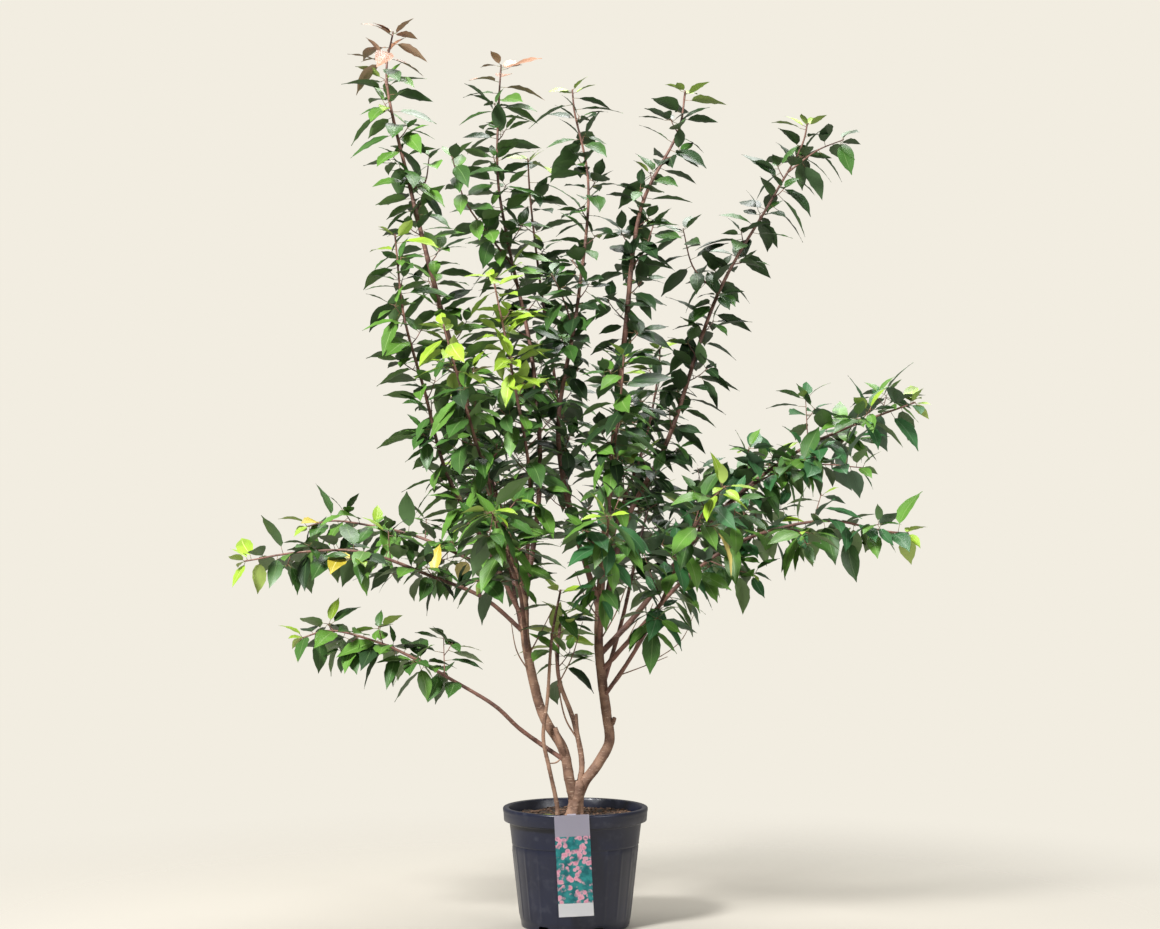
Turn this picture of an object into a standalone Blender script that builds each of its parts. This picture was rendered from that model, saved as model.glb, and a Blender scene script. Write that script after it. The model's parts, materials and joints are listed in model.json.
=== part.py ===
"""Kanzan cherry in a nursery pot, a many-stemmed young tree in leaf.

Metres, +Z up, with -Y towards the viewer. The origin is the centre of the pot's flat underside.
The trunk forks just above the soil. Stems and boughs are smooth tapering limbs, each one grown
from a collar on the limb that carries it, and each ends where it enters its mass of foliage.
A mass of foliage is a leader with short twigs and leaves, fused into one closed body.
"""
import copy
import math
from collections import namedtuple

import bmesh
import bpy
import numpy as np

SEED = 20
GAP = 0.0003                    # clearance between neighbouring pieces
UP = np.array((0.0, 0.0, 1.0))
GOLDEN_ANGLE = math.radians(137.5)

# Nursery pot, 30 litres
POT_HEIGHT = 0.328
POT_RIM_RADIUS = 0.200
POT_MOUTH_RADIUS = 0.186
POT_BODY_RADIUS = 0.182         # under the lip
POT_FOOT_RADIUS = 0.150
POT_WALL = 0.0025
POT_FLOOR = 0.004
POT_SIDES = 40
LIP_DROP = 0.037                # how far the lip's skirt hangs down
LIP_THICK = 0.006
SKIRT_SLOPE = 0.0030            # how much narrower the skirt is at its lower edge
SKIRT_THICK = 0.0025
POT_EDGE = 0.003                # bevels at the rim and the foot
BAND_DROP = 0.100               # from the top to the lower edge of the plain band
BAND_STEP = 0.0018
NOTCH_COUNT = 6                 # drain notches in the foot
NOTCH_TURN = math.radians(-35.0)
NOTCH_WIDTH = 0.034
NOTCH_HEIGHT = 0.016
NOTCH_DEPTH = 0.016

SOIL_TOP = 0.3030
SOIL_SLACK = 0.0005             # the flat-sided wall comes a little nearer than its round one

# Hanging care card on the rim
CARD_WIDTH = 0.094
CARD_HEIGHT = 0.272
CARD_THICK = 0.0012
CARD_TOP = 0.3300
CARD_SIDE = -0.010              # its top stands this far left of the pot's middle
CARD_LEAN = math.radians(2.8)
HOOK_WIDTH = 0.024
HOOK_REACH = 0.0240             # from the card to the hook's end inside the pot
HOOK_DROP = 0.014
HOOK_ROOT = 0.010               # how far the hook runs down into the card
HOOK_RISE = 0.0006

# Trunk, from the flat cut at the soil to its fork
TRUNK_HEIGHTS = (0.0, 0.006, 0.016, 0.036, 0.062, 0.084, 0.096)
TRUNK_RADII = (0.0305, 0.0270, 0.0240, 0.0212, 0.0208, 0.0190, 0.0135)
TRUNK_LEAN = (0.016, 0.000)     # sideways drift for each 0.1 m of height, over its foot
TRUNK_FOOT = (-0.005, 0.0)

TRUNK_SIDES = 12
LIMB_SIDES = 8
BOUGH_SIDES = 6
RING_GAP = 0.075                # rings along a limb
STEM_RING_GAP = 0.060
COLLAR_RING_GAP = 0.030
LONGEST_COLLAR = 0.300
COLLAR_CLEAR = 0.003            # where a limb is this far clear of its carrier's bark, its collar ends
TAPER_POWER = 0.85              # a limb thins a little faster towards its tip
LIE_FLAT = 0.35                 # how far leaves and twigs stand up from a shoot that lies level
TWIG_SIDES = 3

LEAF_LENGTH = 0.138
LEAF_WIDTH = 0.069
LEAF_THICK = 0.0026
LEAF_FOLD = 0.005               # how far the blade's widest part stands above its root and tip
LEAF_WIDEST = 0.42              # share of its length at which a leaf is widest
LEAF_DROOP = 0.75               # how far leaves hang, but for those at a shoot's tip
LEAF_APART = 0.008              # least distance between the sampled points of two leaves of one mass
LEAF_CLEAR = 0.014              # least distance from a leaf's sampled points to foreign wood
LEAF_TRIES = 4
LEAF_TRY_SHRINK = 0.93
LEAF_TRY_TURN = 1.2
LEAF_START = 0.030
LEAF_ROLL = 0.6
LEAF_SINK = 0.35                # share of the twig's radius that a leaf's root lies behind its middle
DROOP_SPREAD = 0.2
TURN_SPREAD = 0.25
TIP_LEAVES = 3
TIP_LEAF_GAP = 0.004
TIP_LEAF_SIZE = 0.80
TIP_BARE = 0.7                  # share of a leaf gap that stays free below a tip
TIP_RISE = 0.7                  # how far the leaves at a tip point on along it
LOWEST_LEAF = 0.36              # leaves keep above the pot

TWIG_RADIUS = 0.0030
TWIG_TIP_RADIUS = 0.0022
TWIG_SWELL = 1.30               # three-sided twigs are drawn fuller to keep their thickness
TWIG_START = 0.050
TWIG_END = 0.120
TWIG_GAP = 0.185
TWIG_LIFT = 0.35                # how far twigs turn up on upright leaders
TWIG_FORWARD = 0.45             # how far twigs lean along their leader
TWIG_BEND = 0.55                # share of a twig's length at which it bends
TWIG_LONGEST = 1.15             # share of the limb's twig length, at the foot of its leafy part
TWIG_SHORTENING = 0.75          # what is gone from that share at its tip
TWIG_FOOT = 0.015               # the stretch of a twig that may touch its own leader's room
TWIG_CLEAR = 0.007              # least distance from a twig's middle line to foreign wood
TWIG_LEAF_START = 0.045
TWIG_LEAF_GAP = 0.050
SPACING_SPREAD = 0.15           # how far spacings and sizes stray from their mean
STEM_GAP = 0.140                # straight bars along a leader
TWIG_RING_GAP = 0.08
ROOM_MARGIN = 0.006
FACE_SPREAD = 0.30              # how far a leaf may turn from the middle of its twig's face
SOLVER = "EXACT"

BARK_BROWN = (0.205, 0.118, 0.072)
SHOOT_BROWN = (0.190, 0.085, 0.060)
LEAF_GREEN = (0.045, 0.150, 0.035)
POT_BLACK = (0.018, 0.021, 0.036)
SOIL_BROWN = (0.040, 0.024, 0.015)
CARD_TEAL = (0.020, 0.230, 0.250)

# A limb leaves its carrier at the first point of its way and runs through the others to its tip.
# bare is the share of its length that stays a plain bough, and the rest carries foliage.
# twig is the length of its longest side twigs, gap the distance between leaves along it.
Limb = namedtuple("Limb", "name carrier way foot_radius tip_radius bare twig gap")

LIMBS = (
    Limb("left_stem", "trunk", ((-0.004, -0.003, 0.350), (-0.015, -0.010, 0.395), (-0.034, -0.012, 0.487),
         (-0.089, -0.015, 0.581), (-0.137, -0.022, 0.788), (-0.144, -0.025, 0.909), (-0.188, -0.030, 1.042),
         (-0.323, -0.045, 1.525), (-0.452, -0.080, 2.031), (-0.514, -0.100, 2.331), (-0.496, -0.100, 2.450)),
         0.0145, 0.0022, 0.39, 0.10, 0.048),
    Limb("right_stem", "trunk", ((0.006, 0.002, 0.350), (0.024, 0.005, 0.392), (0.062, 0.008, 0.444),
         (0.094, 0.010, 0.507), (0.087, 0.010, 0.575), (0.065, 0.012, 0.761), (0.068, 0.015, 0.896),
         (0.098, 0.000, 1.250), (0.136, -0.050, 1.626), (0.182, -0.080, 1.979), (0.283, -0.090, 2.186),
         (0.300, -0.090, 2.290)),
         0.0150, 0.0022, 0.40, 0.09, 0.053),
    Limb("middle_stem", "trunk", ((0.004, 0.004, 0.360), (0.018, 0.010, 0.440), (-0.004, 0.032, 0.557),
         (-0.048, 0.052, 0.689), (-0.040, 0.075, 0.860)),
         0.0085, 0.0035, 0.62, 0.09, 0.064),
    Limb("sucker", "soil", ((-0.050, -0.021, SOIL_TOP + GAP), (-0.050, -0.021, 0.328), (-0.073, -0.037, 0.443),
         (-0.088, -0.047, 0.520), (-0.076, -0.062, 0.634), (-0.064, -0.075, 0.800), (-0.040, -0.085, 0.930)),
         0.0062, 0.0030, 0.72, 0.09, 0.057),
    Limb("mid_left", "left_stem", ((-0.141, -0.020, 0.871), (-0.099, 0.060, 1.228), (-0.122, 0.100, 1.572),
         (-0.190, 0.140, 1.897), (-0.219, 0.160, 2.079), (-0.216, 0.170, 2.300), (-0.210, 0.170, 2.400)),
         0.0080, 0.0022, 0.17, 0.10, 0.048),
    Limb("centre", "right_stem", ((0.068, 0.015, 0.880), (-0.009, -0.050, 1.119), (-0.047, -0.080, 1.365),
         (0.005, -0.100, 1.700), (0.035, -0.130, 2.036), (-0.003, -0.150, 2.230), (-0.008, -0.150, 2.285)),
         0.0078, 0.0022, 0.17, 0.08, 0.056),
    Limb("far_right", "right_stem", ((0.071, 0.013, 0.827), (0.138, 0.040, 1.106), (0.249, 0.060, 1.320),
         (0.402, 0.110, 1.755), (0.558, 0.150, 2.026), (0.642, 0.170, 2.179), (0.655, 0.170, 2.235)),
         0.0085, 0.0022, 0.18, 0.08, 0.056),
    Limb("low_left", "left_stem", ((-0.141, -0.020, 0.838), (-0.230, -0.080, 1.024), (-0.347, -0.140, 1.245),
         (-0.405, -0.180, 1.466), (-0.460, -0.200, 1.670), (-0.479, -0.200, 1.833), (-0.484, -0.200, 1.890)),
         0.0068, 0.0022, 0.20, 0.09, 0.048),
    Limb("front_lime", "left_stem", ((-0.142, -0.021, 0.898), (-0.122, -0.200, 1.229), (-0.164, -0.280, 1.498),
         (-0.218, -0.300, 1.770)),
         0.0060, 0.0022, 0.22, 0.10, 0.046),
    Limb("front_left", "left_stem", ((-0.163, -0.027, 0.981), (-0.258, -0.250, 1.310), (-0.306, -0.330, 1.490),
         (-0.347, -0.350, 1.640)),
         0.0058, 0.0022, 0.24, 0.10, 0.046),
    Limb("back_centre", "right_stem", ((0.068, 0.014, 0.850), (-0.020, 0.160, 1.180), (-0.060, 0.250, 1.520),
         (-0.100, 0.285, 1.782), (-0.131, 0.300, 2.045), (-0.137, 0.300, 2.150)),
         0.0066, 0.0022, 0.18, 0.09, 0.056),
    Limb("left_outer", "left_stem", ((-0.139, -0.022, 0.807), (-0.250, -0.075, 0.906), (-0.387, -0.100, 0.965),
         (-0.579, -0.120, 1.033), (-0.747, -0.120, 1.033), (-0.900, -0.120, 1.008)),
         0.0062, 0.0020, 0.32, 0.09, 0.051),
    Limb("left_upper", "left_stem", ((-0.150, -0.026, 0.935), (-0.323, 0.065, 1.020), (-0.449, 0.110, 1.071),
         (-0.585, 0.135, 1.101), (-0.690, 0.150, 1.112), (-0.760, 0.150, 1.095)),
         0.0056, 0.0020, 0.20, 0.10, 0.048),
    Limb("left_low", "left_stem", ((-0.028, -0.012, 0.455), (-0.094, -0.016, 0.500), (-0.154, -0.050, 0.548),
         (-0.219, -0.100, 0.614), (-0.334, -0.130, 0.687), (-0.452, -0.150, 0.755), (-0.533, -0.150, 0.790),
         (-0.663, -0.150, 0.822), (-0.745, -0.150, 0.800)),
         0.0066, 0.0020, 0.46, 0.10, 0.043),
    Limb("right_upper", "right_stem", ((0.067, 0.012, 0.745), (0.165, 0.045, 0.850), (0.290, 0.075, 1.010),
         (0.425, 0.085, 1.160), (0.618, 0.090, 1.306), (0.777, 0.090, 1.381), (0.950, 0.090, 1.445)),
         0.0085, 0.0022, 0.20, 0.19, 0.046),
    Limb("right_lower", "right_stem", ((0.071, 0.011, 0.700), (0.170, -0.035, 0.812), (0.290, -0.080, 0.950),
         (0.420, -0.108, 1.047), (0.556, -0.120, 1.099), (0.697, -0.120, 1.118), (0.841, -0.120, 1.090),
         (0.905, -0.120, 1.084)),
         0.0070, 0.0022, 0.26, 0.18, 0.048),
    Limb("right_front", "right_stem", ((0.079, 0.010, 0.630), (0.150, -0.080, 0.742), (0.222, -0.180, 0.880),
         (0.300, -0.320, 1.075), (0.360, -0.420, 1.185), (0.388, -0.465, 1.215)),
         0.0062, 0.0022, 0.32, 0.14, 0.043),
    Limb("front_low_left", "left_stem", ((-0.132, -0.021, 0.750), (-0.150, -0.180, 0.930), (-0.190, -0.360, 1.060),
         (-0.210, -0.520, 1.140), (-0.215, -0.620, 1.150)),
         0.0058, 0.0022, 0.34, 0.12, 0.046),
    Limb("front_low_right", "right_stem", ((0.065, 0.012, 0.770), (0.070, -0.130, 0.900), (0.080, -0.300, 1.020),
         (0.085, -0.480, 1.120), (0.080, -0.580, 1.140)),
         0.0058, 0.0022, 0.40, 0.12, 0.046),
    Limb("back_low_left", "left_stem", ((-0.127, -0.020, 0.715), (-0.170, 0.140, 0.900), (-0.210, 0.330, 1.090),
         (-0.240, 0.520, 1.220), (-0.250, 0.620, 1.250)),
         0.0062, 0.0022, 0.36, 0.12, 0.046),
    Limb("back_low_right", "right_stem", ((0.075, 0.011, 0.655), (0.130, 0.140, 0.830), (0.180, 0.310, 1.030),
         (0.220, 0.500, 1.160), (0.240, 0.600, 1.190)),
         0.0064, 0.0022, 0.40, 0.12, 0.046),
    Limb("back_left", "left_stem", ((-0.146, -0.024, 0.945), (-0.210, 0.130, 1.150), (-0.290, 0.290, 1.370),
         (-0.340, 0.370, 1.560), (-0.350, 0.385, 1.640)),
         0.0060, 0.0022, 0.26, 0.12, 0.048),
    Limb("back_right", "right_stem", ((0.069, 0.013, 0.925), (0.120, 0.150, 1.120), (0.200, 0.290, 1.340),
         (0.240, 0.360, 1.540), (0.245, 0.370, 1.610)),
         0.0060, 0.0022, 0.26, 0.12, 0.048),
    Limb("front_right", "right_stem", ((0.082, 0.008, 1.060), (0.090, -0.130, 1.210), (0.110, -0.260, 1.360),
         (0.125, -0.320, 1.500), (0.128, -0.330, 1.560)),
         0.0050, 0.0022, 0.22, 0.10, 0.051),
)

# A long side shoot inside a mass: the limb, how far up it the shoot starts, and its own way.
SideShoot = namedtuple("SideShoot", "limb start way radius")

SIDE_SHOOT_TIP_RADIUS = 0.0020
SIDE_SHOOTS = (
    SideShoot("mid_left", 0.630, ((-0.246, 0.070, 1.916), (-0.307, 0.010, 2.004), (-0.340, -0.030, 2.120)),
              0.0034),
    SideShoot("left_stem", 0.800, ((-0.415, -0.040, 2.040), (-0.400, -0.045, 2.120)), 0.0030),
    SideShoot("right_stem", 0.745, ((0.190, -0.060, 1.860), (0.215, -0.055, 1.930)), 0.0030),
    SideShoot("far_right", 0.900, ((0.680, 0.150, 2.155), (0.755, 0.140, 2.185)), 0.0030),
    SideShoot("right_upper", 0.440, ((0.520, 0.040, 1.230), (0.660, -0.020, 1.270), (0.790, -0.050, 1.262)),
              0.0036),
    SideShoot("right_upper", 0.360, ((0.400, 0.170, 1.190), (0.540, 0.250, 1.270)), 0.0036),
    SideShoot("far_right", 0.640, ((0.330, 0.090, 1.820), (0.300, 0.085, 1.930)), 0.0030),
    SideShoot("centre", 0.545, ((-0.040, -0.110, 1.740), (-0.066, -0.120, 1.790)), 0.0030),
)


def unit(vector):
    return vector / np.linalg.norm(vector)


def smooth(way, step=0.005):
    """Points about one step apart on a smooth curve through the way's points."""
    points = [np.array(point, dtype=float) for point in way]
    points = [2 * points[0] - points[1]] + points + [2 * points[-1] - points[-2]]
    curve = [points[1]]
    for before, start, end, after in zip(points, points[1:], points[2:], points[3:]):
        count = max(2, int(np.linalg.norm(end - start) / step))
        knots = np.cumsum([0.0] + [math.sqrt(np.linalg.norm(b - a)) for a, b in
                                   ((before, start), (start, end), (end, after))])
        for t in np.linspace(knots[1], knots[2], count + 1)[1:]:
            curve.append(centripetal((before, start, end, after), knots, t))
    return np.array(curve)


def centripetal(points, knots, t):
    """One point of the centripetal Catmull-Rom curve through four points."""
    level = list(points)
    for span in (1, 2, 3):
        level = [((knots[i + span] - t) * a + (t - knots[i]) * b) / (knots[i + span] - knots[i])
                 if span < 3 else ((knots[2] - t) * a + (t - knots[1]) * b) / (knots[2] - knots[1])
                 for i, (a, b) in enumerate(zip(level, level[1:]))]
    return level[0]


class Shoot:
    """A tapering round limb along a smooth curve, with a steady frame round it."""

    def __init__(self, way, foot_radius, tip_radius):
        self.points = smooth(way)
        steps = np.linalg.norm(np.diff(self.points, axis=0), axis=1)
        self.marks = np.concatenate(([0.0], np.cumsum(steps)))
        self.length = self.marks[-1]
        self.foot_radius = foot_radius
        self.tip_radius = tip_radius
        tangents = np.gradient(self.points, self.marks, axis=0)
        self.tangents = tangents / np.linalg.norm(tangents, axis=1)[:, None]
        side = np.cross(self.tangents[0], (0.0, 1.0, 0.0))
        self.sides = []
        for tangent in self.tangents:
            side = unit(side - tangent * side.dot(tangent))
            self.sides.append(side)
        self.sides = np.array(self.sides)

    def blend(self, rows, mark):
        return np.array([np.interp(mark, self.marks, rows[:, axis]) for axis in range(3)])

    def centre(self, mark):
        return self.blend(self.points, mark)

    def tangent(self, mark):
        return unit(self.blend(self.tangents, mark))

    def side(self, mark):
        tangent = self.tangent(mark)
        side = self.blend(self.sides, mark)
        return unit(side - tangent * side.dot(tangent))

    def radius(self, mark):
        share = mark / self.length
        return self.tip_radius + (self.foot_radius - self.tip_radius) * (1.0 - share) ** TAPER_POWER

    def straightened(self, start, end, gap):
        """The stretch between two marks as straight bars, so that what sits on it meets the solid bar."""
        bars = copy.copy(self)
        bars.marks = np.linspace(start, end, max(1, round((end - start) / gap)) + 1)
        bars.points = np.array([self.centre(mark) for mark in bars.marks])
        bars.tangents = np.array([self.tangent(mark) for mark in bars.marks])
        bars.sides = np.array([self.side(mark) for mark in bars.marks])
        return bars

    def rings(self):
        """Ring centres, frames and radii at the shoot's own marks."""
        return [(self.centre(mark), self.tangent(mark), self.side(mark), self.radius(mark))
                for mark in self.marks]


def tube(rings, sides, swell=1.0):
    """A closed round bar through rings, with flat ends."""
    mesh = bmesh.new()
    loops = []
    for centre, tangent, side, radius in rings:
        across = np.cross(tangent, side)
        loop = []
        for corner in range(sides):
            turn = math.tau * corner / sides
            spoke = math.cos(turn) * side + math.sin(turn) * across
            loop.append(mesh.verts.new(centre + spoke * radius * swell))
        loops.append(loop)
    for lower, upper in zip(loops, loops[1:]):
        for corner in range(sides):
            after = (corner + 1) % sides
            mesh.faces.new((lower[corner], lower[after], upper[after], upper[corner]))
    mesh.faces.new(reversed(loops[0]))
    mesh.faces.new(loops[-1])
    return mesh


def place(mesh, name, material=None, collection=None):
    """Turn a bmesh into an object."""
    data = bpy.data.meshes.new(name)
    mesh.to_mesh(data)
    mesh.free()
    item = bpy.data.objects.new(name, data)
    (collection or bpy.context.scene.collection).objects.link(item)
    if material:
        data.materials.append(material)
    return item


def paint(name, colour, roughness):
    material = bpy.data.materials.new(name)
    material.use_nodes = True
    shader = material.node_tree.nodes["Principled BSDF"]
    shader.inputs["Base Color"].default_value = (*colour, 1.0)
    shader.inputs["Roughness"].default_value = roughness
    shader.inputs["Metallic"].default_value = 0.0
    return material


def apply_boolean(item, pieces, operation, solver="EXACT"):
    """Fuse pieces to an item, or cut them from it, and remove them."""
    tools = bpy.data.collections.new(item.name + "_pieces")
    bpy.context.scene.collection.children.link(tools)
    for index, piece in enumerate(pieces):
        place(piece, f"{item.name}_piece_{index}", collection=tools)
    modifier = item.modifiers.new("Join", "BOOLEAN")
    modifier.operation = operation
    modifier.solver = solver
    modifier.operand_type = "COLLECTION"
    modifier.collection = tools
    ready = item.evaluated_get(bpy.context.evaluated_depsgraph_get())
    joined = bpy.data.meshes.new_from_object(ready)
    item.modifiers.clear()
    item.data = joined
    for piece in list(tools.objects):
        bpy.data.objects.remove(piece)
    bpy.data.collections.remove(tools)


def turned(profile, sides):
    """A solid of revolution about the Z axis from a closed outline of (radius, height)."""
    mesh = bmesh.new()
    corners = [mesh.verts.new((radius, 0.0, height)) for radius, height in profile]
    edges = [mesh.edges.new((a, b)) for a, b in zip(corners, corners[1:])]
    bmesh.ops.spin(mesh, geom=corners + edges, axis=UP, cent=(0, 0, 0), angle=math.tau, steps=sides,
                   use_merge=True, use_duplicate=False)
    bmesh.ops.remove_doubles(mesh, verts=mesh.verts, dist=0.00001)
    bmesh.ops.recalc_face_normals(mesh, faces=mesh.faces)
    return mesh


def box(width, depth, height, centre, turn=0.0):
    """A plain block, turned about Z."""
    mesh = bmesh.new()
    bmesh.ops.create_cube(mesh, size=1.0)
    cosine = math.cos(turn)
    sine = math.sin(turn)
    for corner in mesh.verts:
        x = corner.co.x * width + centre[0]
        y = corner.co.y * depth + centre[1]
        corner.co = (x * cosine - y * sine, x * sine + y * cosine, corner.co.z * height + centre[2])
    return mesh


def wall_radius(height):
    """Outer radius of the pot's tapering wall."""
    share = height / (POT_HEIGHT - LIP_DROP)
    return POT_FOOT_RADIUS + (POT_BODY_RADIUS - POT_FOOT_RADIUS) * share


def make_pot(material):
    band = POT_HEIGHT - BAND_DROP
    skirt = POT_HEIGHT - LIP_DROP
    under_lip = POT_HEIGHT - LIP_THICK
    profile = (
        (0.0, 0.0),
        (POT_FOOT_RADIUS - POT_EDGE, 0.0),
        (POT_FOOT_RADIUS, POT_EDGE),
        (wall_radius(band) - BAND_STEP, band - BAND_STEP),
        (wall_radius(band), band),
        (POT_BODY_RADIUS, skirt),
        (POT_MOUTH_RADIUS - 0.001, under_lip),
        (POT_RIM_RADIUS - SKIRT_SLOPE - SKIRT_THICK / 2, under_lip),
        (POT_RIM_RADIUS - SKIRT_SLOPE - SKIRT_THICK, skirt),
        (POT_RIM_RADIUS - SKIRT_SLOPE, skirt),
        (POT_RIM_RADIUS, POT_HEIGHT - POT_EDGE),
        (POT_RIM_RADIUS - POT_EDGE, POT_HEIGHT),
        (POT_MOUTH_RADIUS, POT_HEIGHT),
        (POT_MOUTH_RADIUS - POT_EDGE, POT_HEIGHT - POT_EDGE),
        (POT_BODY_RADIUS - POT_WALL, skirt),
        (POT_FOOT_RADIUS - POT_WALL, POT_FLOOR),
        (0.0, POT_FLOOR),
    )
    pot = place(turned(profile, POT_SIDES), "pot", material)
    notches = []
    for index in range(NOTCH_COUNT):
        turn = NOTCH_TURN + math.tau * index / NOTCH_COUNT
        middle = (0.0, -POT_FOOT_RADIUS, NOTCH_HEIGHT / 2 - 0.001)
        notches.append(box(NOTCH_WIDTH, NOTCH_DEPTH, NOTCH_HEIGHT + 0.002, middle, turn))
    apply_boolean(pot, notches, "DIFFERENCE")
    return pot


def make_soil(material):
    inset = POT_WALL + GAP
    foot = POT_FLOOR + GAP
    profile = (
        (0.0, foot),
        (wall_radius(foot) - inset - SOIL_SLACK, foot),
        (wall_radius(SOIL_TOP) - inset - 3 * SOIL_SLACK, SOIL_TOP),
        (0.0, SOIL_TOP),
    )
    return place(turned(profile, POT_SIDES), "soil", material)


def make_card(material):
    """The care card, hung on the rim at the front by a hook that is cut from the same sheet."""
    sheet = box(CARD_WIDTH, CARD_THICK, CARD_HEIGHT, (0.0, 0.0, -CARD_HEIGHT / 2))
    card = place(sheet, "care_card", material)
    outline = (
        (0.0, -HOOK_ROOT),
        (0.0, HOOK_RISE),
        (HOOK_REACH, HOOK_RISE),
        (HOOK_REACH, -HOOK_DROP),
        (HOOK_REACH - CARD_THICK, -HOOK_DROP),
        (HOOK_REACH - CARD_THICK, HOOK_RISE - CARD_THICK),
        (CARD_THICK / 3, HOOK_RISE - CARD_THICK),
        (CARD_THICK / 3, -HOOK_ROOT),
    )
    hook = bmesh.new()
    face = hook.faces.new([hook.verts.new((-HOOK_WIDTH / 2, y, z)) for y, z in outline])
    swept = bmesh.ops.extrude_face_region(hook, geom=[face])["geom"]
    corners = [item for item in swept if isinstance(item, bmesh.types.BMVert)]
    bmesh.ops.translate(hook, verts=corners, vec=(HOOK_WIDTH, 0.0, 0.0))
    bmesh.ops.recalc_face_normals(hook, faces=hook.faces)
    apply_boolean(card, [hook], "UNION")
    card.location = (CARD_SIDE, -POT_RIM_RADIUS - GAP - CARD_THICK / 2, CARD_TOP)
    card.rotation_euler = (0.0, -CARD_LEAN, 0.0)
    return card


def trunk_rings():
    rings = []
    for height, radius in zip(TRUNK_HEIGHTS, TRUNK_RADII):
        drift = height / 0.1
        centre = np.array((TRUNK_FOOT[0] + TRUNK_LEAN[0] * drift, TRUNK_FOOT[1] + TRUNK_LEAN[1] * drift,
                           SOIL_TOP + GAP + height))
        rings.append((centre, UP, np.array((1.0, 0.0, 0.0)), radius))
    return rings


class Plant:
    """Every limb of the tree, who carries whom, and the room each mass has."""

    def __init__(self):
        self.shoots = {}
        self.collars = {}
        self.starts = {}
        self.bare_ends = {}
        self.rows = {limb.name: limb for limb in LIMBS}
        for limb in LIMBS:
            shoot = Shoot(limb.way, limb.foot_radius, limb.tip_radius)
            self.shoots[limb.name] = shoot
            self.bare_ends[limb.name] = shoot.length * limb.bare
            self.collars.setdefault(limb.carrier, []).append(limb.name)
        for limb in LIMBS:
            self.starts[limb.name] = self.clear_of_carrier(limb)
        self.side_shoots = self.make_side_shoots()
        self.twig_marks = {limb.name: self.axis_points(limb.name) for limb in LIMBS}
        self.wood = self.wood_points()

    def clear_of_carrier(self, limb):
        """The mark at which a limb's bark is clear of the limb that carries it."""
        shoot = self.shoots[limb.name]
        if limb.carrier == "soil":
            return 0.0
        if limb.carrier == "trunk":
            rings = trunk_rings()
            axis = np.array([ring[0] for ring in rings])
            radii = np.array([ring[3] for ring in rings])
        else:
            carrier = self.shoots[limb.carrier]
            axis = carrier.points
            radii = np.array([carrier.radius(mark) for mark in carrier.marks])
        for mark in np.arange(0.010, LONGEST_COLLAR, 0.004):
            away = np.linalg.norm(axis - shoot.centre(mark), axis=1) - radii
            if away.min() > shoot.radius(mark) + COLLAR_CLEAR:
                return float(mark)
        return LONGEST_COLLAR

    def make_side_shoots(self):
        made = {}
        for row in SIDE_SHOOTS:
            carrier = self.shoots[row.limb]
            bars = carrier.straightened(self.bare_ends[row.limb] + GAP, carrier.length, STEM_GAP)
            foot = bars.centre(carrier.length * row.start)
            shoot = Shoot((foot,) + row.way, row.radius, SIDE_SHOOT_TIP_RADIUS)
            made.setdefault(row.limb, []).append(shoot)
        return made

    def axis_points(self, name):
        """Points on the leafy part of a limb and on its side shoots."""
        shoot = self.shoots[name]
        leafy = shoot.points[shoot.marks > self.bare_ends[name]][::3]
        parts = [leafy] + [side.points[::3] for side in self.side_shoots.get(name, ())]
        return np.concatenate(parts)

    def wood_points(self):
        """Centre points and radii of all limbs, for keeping leaves off them."""
        centres = []
        radii = []
        owners = []
        for name, shoot in self.shoots.items():
            for index in range(0, len(shoot.points), 2):
                mark = shoot.marks[index]
                centres.append(shoot.points[index])
                radii.append(shoot.radius(mark))
                owners.append(name if mark > self.bare_ends[name] else "wood")
        for centre, _, _, radius in trunk_rings():
            centres.append(centre)
            radii.append(radius)
            owners.append("wood")
        return np.array(centres), np.array(radii), np.array(owners)


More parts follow.
